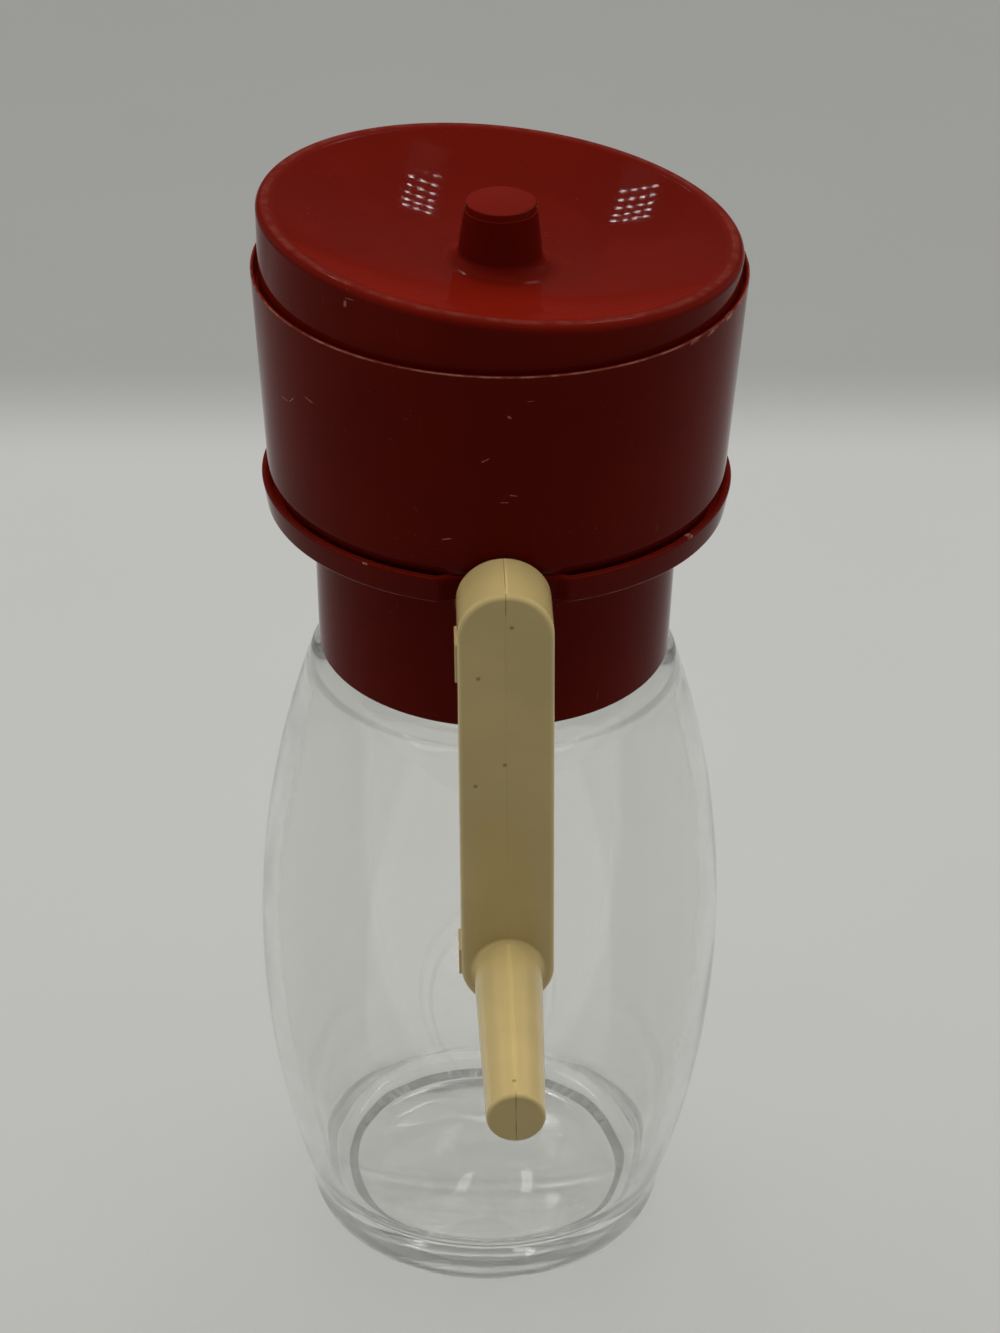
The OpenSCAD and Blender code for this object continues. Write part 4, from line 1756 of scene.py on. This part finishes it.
@dataclass
class Crank:
    """Ivory one-piece crank: round-ended arm, deeper hub and a tapered handle.

    Attributes:
        hub_y: Back of the hub, forwards of the axis.
        tip_y: End of the handle, forwards of the axis.
        shaft_z: Height of the shaft.
        hang: Angle off straight down, in degrees, lower end towards +X.
        arm_r: Half width of the arm.
        throw: Distance from the shaft to the handle.
        hub_t: Depth of the hub.
        arm_t: Thickness of the arm.
        edge_r: Rounding of the arm's front edges.
        back_edge: Rounding of its back edges.
        grip_r: Radius of the handle at the arm.
        grip_end_r: Radius of its end.
        grip_fillet: Fillet at its root.
        grip_edge: Rounding of its end.
        pad_h: Height of the pads on the arm's side.
        pads: Distance below the shaft and length of each pad.
        socket: Width and depth of the square socket for the shaft.
        sunk: Depth by which the handle and the pads are set into the arm.
        steps: Steps round the arm's ends.
    """

    hub_y: float = field(default_factory=lambda: -high("crank").y)
    tip_y: float = field(default_factory=lambda: -low("crank").y)
    shaft_z: float = field(default_factory=shaft_height)
    hang: float = 1.2
    arm_r: float = 7.75
    throw: float = 65.0
    hub_t: float = 12.0
    arm_t: float = 9.0
    edge_r: float = 0.95
    back_edge: float = 0.5
    grip_r: float = 5.75
    grip_end_r: float = 4.75
    grip_fillet: float = 0.8
    grip_edge: float = 0.7
    pad_h: float = 0.4
    pads: tuple[Point, ...] = ((2.33, 7.0), (62.0, 5.0))
    socket: Point = (4.3, 8.5)
    sunk: float = 2.0
    steps: int = 98

    @property
    def front_y(self) -> float:
        """Front face of the arm, in millimetres along Y."""
        return -self.hub_y - self.hub_t

    def build(self, finish: Material) -> Object:
        """Models the crank and dresses it.

        Args:
            finish: Its plastic.

        Returns:
            The crank.
        """
        crank = as_object(self._seated(self._arm()), "crank_moulding")
        for part in (self._hub(), self._grip(), *self._pads()):
            work(crank, self._seated(part), Cut.JOIN)
        wide, deep = self.socket
        work(crank, self._seated(block((wide, wide, 2 * deep), (0, 0, 0))), Cut.CARVE)
        polish(crank, crease=30)
        enrol(crank, "crank", Body.ROTOR, finish)
        return crank

    def finish(self) -> IvoryMoulding:
        """Plastic of the crank, with the parting line down its middle."""
        return IvoryMoulding("crank_ivory", self.hang, self.shaft_z, self.front_y)

    def _seated(self, bm: BMesh) -> BMesh:
        """Seats a mesh on the shaft: its Z runs forwards from the hub's back and its Y down the arm.

        Args:
            bm: Mesh in millimetres.

        Returns:
            The mesh, in metres.
        """
        seat = (
            Matrix.Translation((0, -self.hub_y * MM, self.shaft_z * MM))
            @ Matrix.Rotation(-math.radians(self.hang), 4, "Y")
            @ Matrix.Rotation(math.pi / 2, 4, "X")
            @ Matrix.Diagonal((MM, -MM, MM, 1))
        )
        placed(bm, seat)
        bmesh.ops.recalc_face_normals(bm, faces=bm.faces)
        return bm

    def _arm(self) -> BMesh:
        """Mesh of the round-ended arm with rounded edges.

        Returns:
            The mesh, along the shaft's own axes.
        """
        bm = bmesh.new()
        half_step = Matrix.Rotation(math.pi / self.steps, 4, "Z")
        bmesh.ops.create_circle(bm, cap_ends=True, segments=self.steps, radius=self.arm_r, matrix=half_step)
        lower = [v for v in bm.verts if v.co.y > 0]
        bmesh.ops.translate(bm, verts=lower, vec=(0, self.throw, 0))
        back = self.hub_t - self.arm_t
        bmesh.ops.translate(bm, verts=bm.verts, vec=(0, 0, back))
        made = bmesh.ops.extrude_face_region(bm, geom=list(bm.faces))
        raised = [part for part in made["geom"] if isinstance(part, BMVert)]
        bmesh.ops.translate(bm, verts=raised, vec=(0, 0, self.arm_t))
        for level, edge in ((self.hub_t, self.edge_r), (back, self.back_edge)):
            rim = [e for e in bm.edges if all(abs(v.co.z - level) < SAME for v in e.verts)]
            soften(bm, rim, edge, segments=5)
        return bm

    def _hub(self) -> BMesh:
        """Mesh of the hub's part behind the arm."""
        return rod(self.arm_r - LAP, 0, self.hub_t - 2 * self.edge_r, edge=0.35, segments=2 * self.steps)

    def _grip(self) -> BMesh:
        """Mesh of the tapered handle with its root fillet.

        Returns:
            The mesh, along the shaft's own axes.
        """
        root, tip = self.hub_t, self.tip_y - self.hub_y
        wide = self.grip_r + 1.5 * self.grip_fillet
        outline = Profile().corners(
            [
                (0, root - self.sunk, 0),
                (wide, root - self.sunk, 0),
                (wide, root - 2 * LAP, 0),
                (self.grip_r, root, self.grip_fillet),
                (self.grip_end_r, tip, self.grip_edge),
                (0, tip, 0),
            ],
            6,
        )
        bm = turned(outline.points, ROUND)
        return placed(bm, Matrix.Translation((0, self.throw, 0)) @ Matrix.Scale(1 / MM, 4))

    def _pads(self) -> list[BMesh]:
        """Meshes of the raised pads on the arm's side.

        Returns:
            The meshes, along the shaft's own axes.
        """
        depth = self.arm_t - 3 * self.edge_r
        middle = self.hub_t - self.arm_t + self.edge_r + depth / 2
        wide, x = self.pad_h + self.sunk, (self.sunk - self.pad_h) / 2 - self.arm_r
        return [
            block((wide, length, depth), (x, start + length / 2, middle), edge=0.15)
            for start, length in self.pads
        ]


@dataclass
class Mill:
    """Metal and small plastic pieces of the mill, shown as the frame has them.

    Attributes:
        finishes: Starts of the nodes' names, slot and finish of each kind of piece.
    """

    finishes: tuple[tuple[tuple[str, ...], Slot, Steel | PlainPlastic], ...] = (
        (("star_blade",), Slot.BLADE, Steel("stamped_blade", (0.58, 0.58, 0.57), 0.28)),
        (("spacer",), Slot.SLEEVE, Steel("drawn_sleeve", (0.5, 0.5, 0.49), 0.36, (1.0, 0.2, 1.0))),
        (
            ("front_bush", "rear_bush", "thrust_washer"),
            Slot.BUSH,
            PlainPlastic("bush_nylon", (0.72, 0.7, 0.64)),
        ),
        (("jar_seal",), Slot.SEAL, PlainPlastic("seal_rubber", (0.66, 0.6, 0.47), 0.6)),
        (("comb_coarse", "comb_fine"), Slot.COMB, Steel("stamped_comb", (0.6, 0.6, 0.58), 0.3)),
        (("comb_screws",), Slot.SCREW, Steel("turned_screw", (0.55, 0.54, 0.5), 0.34)),
        (("rotor_shaft",), Slot.SHAFT, Steel("ground_shaft", (0.5, 0.5, 0.5), 0.24, (1.0, 0.1, 1.0))),
        (("retaining_clip",), Slot.CLIP, Steel("sprung_clip", (0.36, 0.36, 0.37), 0.4)),
    )

    def dress(self) -> dict[str, Material]:
        """Gives each shown CAD node its finish.

        Returns:
            The material of each node.
        """
        dressed = {}
        for starts, slot, finish in self.finishes:
            material = finish.make()
            names = [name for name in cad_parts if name.startswith(starts)]
            for name in names:
                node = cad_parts[name]
                node.data.materials.clear()
                node.data.materials.append(material)
                dressed[name] = material
        return dressed


# Stage


@dataclass(frozen=True)
class Lamp:
    """Soft area lamp.

    Attributes:
        name: Name of the lamp.
        place: Its middle, in metres.
        aim: Point that it looks at, in metres.
        size: Its width and length, in metres.
        power: Its power, in watts.
        colour: Its colour.
        spin: Turn about its own axis, in degrees.
        mirrored: Whether glossy faces mirror it.
        shadows: Whether it throws shadows.
        lighting: Whether matt faces take its light.
        shape: Blender's name of its shape.
    """

    name: str
    place: Triple
    aim: Triple
    size: Point
    power: float
    colour: Colour = (1.0, 0.98, 0.95)
    spin: float = 0.0
    mirrored: bool = True
    shadows: bool = True
    lighting: bool = True
    shape: str = "RECTANGLE"

    def light(self) -> None:
        """Hangs the lamp in the scene."""
        data = bpy.data.lights.new(self.name, "AREA")
        data.shape = self.shape
        data.size, data.size_y = self.size
        data.energy, data.color, data.use_shadow = self.power, self.colour, self.shadows
        lamp = bpy.data.objects.new(self.name, data)
        lamp.visible_glossy, lamp.visible_camera = self.mirrored, False
        lamp.visible_diffuse = self.lighting
        bpy.context.scene.collection.objects.link(lamp)
        look = Vector(self.aim) - Vector(self.place)
        facing = look.to_track_quat("-Z", "Y").to_matrix().to_4x4()
        spun = facing @ Matrix.Rotation(math.radians(self.spin), 4, "Z")
        lamp.matrix_world = Matrix.Translation(self.place) @ spun


@dataclass(frozen=True)
class LampPanel:
    """Panel of small round lamps in rows on the ceiling, which gloss shows as a grid of dots.

    Attributes:
        name: Name of the lamps.
        near: Middle of its near end, in metres.
        far: Middle of its far end, in metres.
        columns: Number of lamps across.
        rows: Number of lamps along.
        pitch: Distance between columns, in metres.
        height: Height of the ceiling, in metres.
        dot: Diameter of a lamp, in metres.
        power: Power of a lamp, in watts.
        sheen: Power of the panel as glass shows it, in watts.
    """

    name: str
    near: Point
    far: Point
    columns: int
    rows: int
    pitch: float = 0.021
    height: float = 0.9
    dot: float = 0.009
    power: float = 0.03
    sheen: float = 3.0

    def light(self) -> None:
        """Hangs the lamps in the scene."""
        near, far = Vector(self.near), Vector(self.far)
        along, middle = far - near, near.lerp(far, 0.5)
        across = along.orthogonal().normalized() * self.pitch
        for row in range(self.rows):
            for column in range(self.columns):
                at = near.lerp(far, row / (self.rows - 1)) + across * (column - (self.columns - 1) / 2)
                self._lamp(self.name, at, (self.dot, self.dot), self.power, shape="DISK").light()
        self._lamp(
            f"{self.name}_sheen",
            middle,
            (self.columns * self.pitch, along.length),
            self.sheen,
            spin=-math.degrees(math.atan2(along.x, along.y)),
            mirrored=False,
            lighting=False,
        ).light()

    def _lamp(self, name: str, at: Vector, size: Point, power: float, **settings: object) -> Lamp:
        """Lamp on the ceiling that looks straight down.

        Args:
            name: Name of the lamp.
            at: Its middle, along X and Y.
            size: Its width and length.
            power: Its power.
            settings: Its further settings.

        Returns:
            The lamp.
        """
        return Lamp(name, (at.x, at.y, self.height), (at.x, at.y, 0.0), size, power, **settings)


@dataclass
class Studio:
    """Pale board, soft lamps and light from all round.

    Attributes:
        half_w: Half width of the board, in metres.
        ambient: Strength of the light from above and from the sides.
        dim: Share of it that comes from low down in front.
        beside: Strength of the light from the sides against that from above.
        lamps: The soft lamps.
        panels: The panels of small lamps.
    """

    half_w: float = 4.0
    ambient: float = 0.4
    dim: float = 0.04
    beside: float = 1.7
    lamps: tuple[Lamp, ...] = (
        Lamp("overhead", (0.0, 0.12, 0.9), (0.0, 0.12, 0.0), (1.0, 0.9), 6.4, mirrored=False),
        Lamp(
            "overhead_fill", (0.0, 0.12, 0.9), (0.0, 0.12, 0.0), (1.0, 0.9), 5.8,
            mirrored=False, shadows=False,
        ),
    )
    panels: tuple[LampPanel, ...] = (
        LampPanel("left_panel", (0.236, 0.432), (0.296, 0.905), 3, 8),
        LampPanel("right_panel", (-0.138, 0.474), (-0.096, 0.822), 4, 7),
    )

    def build(self) -> None:
        """Builds the board, the lamps and the light from all round."""
        bm = bmesh.new()
        bmesh.ops.create_grid(bm, x_segments=1, y_segments=1, size=self.half_w)
        board = as_object(bm, "board")
        board.data.materials.append(PaleBoard("pale_board").make())
        for light in (*self.lamps, *self.panels):
            light.light()
        bpy.context.scene.world = self._room()
        bpy.context.scene.view_settings.view_transform = "Standard"

    def _room(self) -> World:
        """Light from all round: bright above and at the sides, dim from the front and from low down.

        Returns:
            The world.
        """
        tree = ShaderTree(bpy.data.worlds.new("soft_room"))
        direction = tree.node("ShaderNodeTexCoord", output="Generated")
        x, y, z = (tree.node("ShaderNodeSeparateXYZ", {}, {0: direction}, axis) for axis in range(3))
        above = z.step(-0.1, 0.75) * (1 - y.step(0.25, -0.6) * z.step(0.95, 0.6))
        beside = abs(x).step(0.45, 0.9) * z.step(-0.15, 0.1) * self.beside
        level = self.dim + (1 - self.dim) * above.sum("MAXIMUM", beside)
        return tree.end(tree.node("ShaderNodeBackground", {}, {"Strength": level * self.ambient}))


@dataclass(frozen=True)
class PhotoCamera:
    """Camera that sees the object as the photograph does.

    Attributes:
        place: Its place, in millimetres.
        right: Direction to the right in its picture.
        up: Direction upwards in its picture.
        lens: Focal length, in millimetres.
        sensor: Long side of the sensor, in millimetres.
        clip: Nearest and farthest distance that it sees, in metres.
    """

    place: Triple = (-20.916, -557.128, 459.304)
    right: Triple = (0.999427, -0.030446, 0.014780)
    up: Triple = (0.003468, 0.526543, 0.850142)
    lens: float = 101.26
    sensor: float = 36.0
    clip: Point = (0.01, 20.0)

    def stand(self) -> None:
        """Sets the camera up."""
        data = bpy.data.cameras.new("camera")
        data.lens, data.sensor_width, data.sensor_fit = self.lens, self.sensor, "AUTO"
        data.clip_start, data.clip_end = self.clip
        camera = bpy.data.objects.new("camera", data)
        bpy.context.scene.collection.objects.link(camera)
        right, up = Vector(self.right), Vector(self.up)
        back = right.cross(up)
        facing = Matrix((right, up, back)).transposed().to_4x4()
        camera.matrix_world = Matrix.Translation(Vector(self.place) * MM) @ facing
        bpy.context.scene.camera = camera


def main() -> None:
    """Builds the pieces in order and reports each, then sets the stage."""
    logging.basicConfig(level=logging.INFO, format="%(name)s: %(message)s")
    for part in (Jar(), Collar(), Hopper(), Lid(), Crank()):
        piece = part.build(part.finish().make())
        LOG.info("%s is built, with %d faces", piece.name, len(piece.data.polygons))
    for name, material in Mill().dress().items():
        LOG.info("%s is shown with %s", name, material.name)
    Studio().build()
    PhotoCamera().stand()


if __name__ == "__main__":
    main()
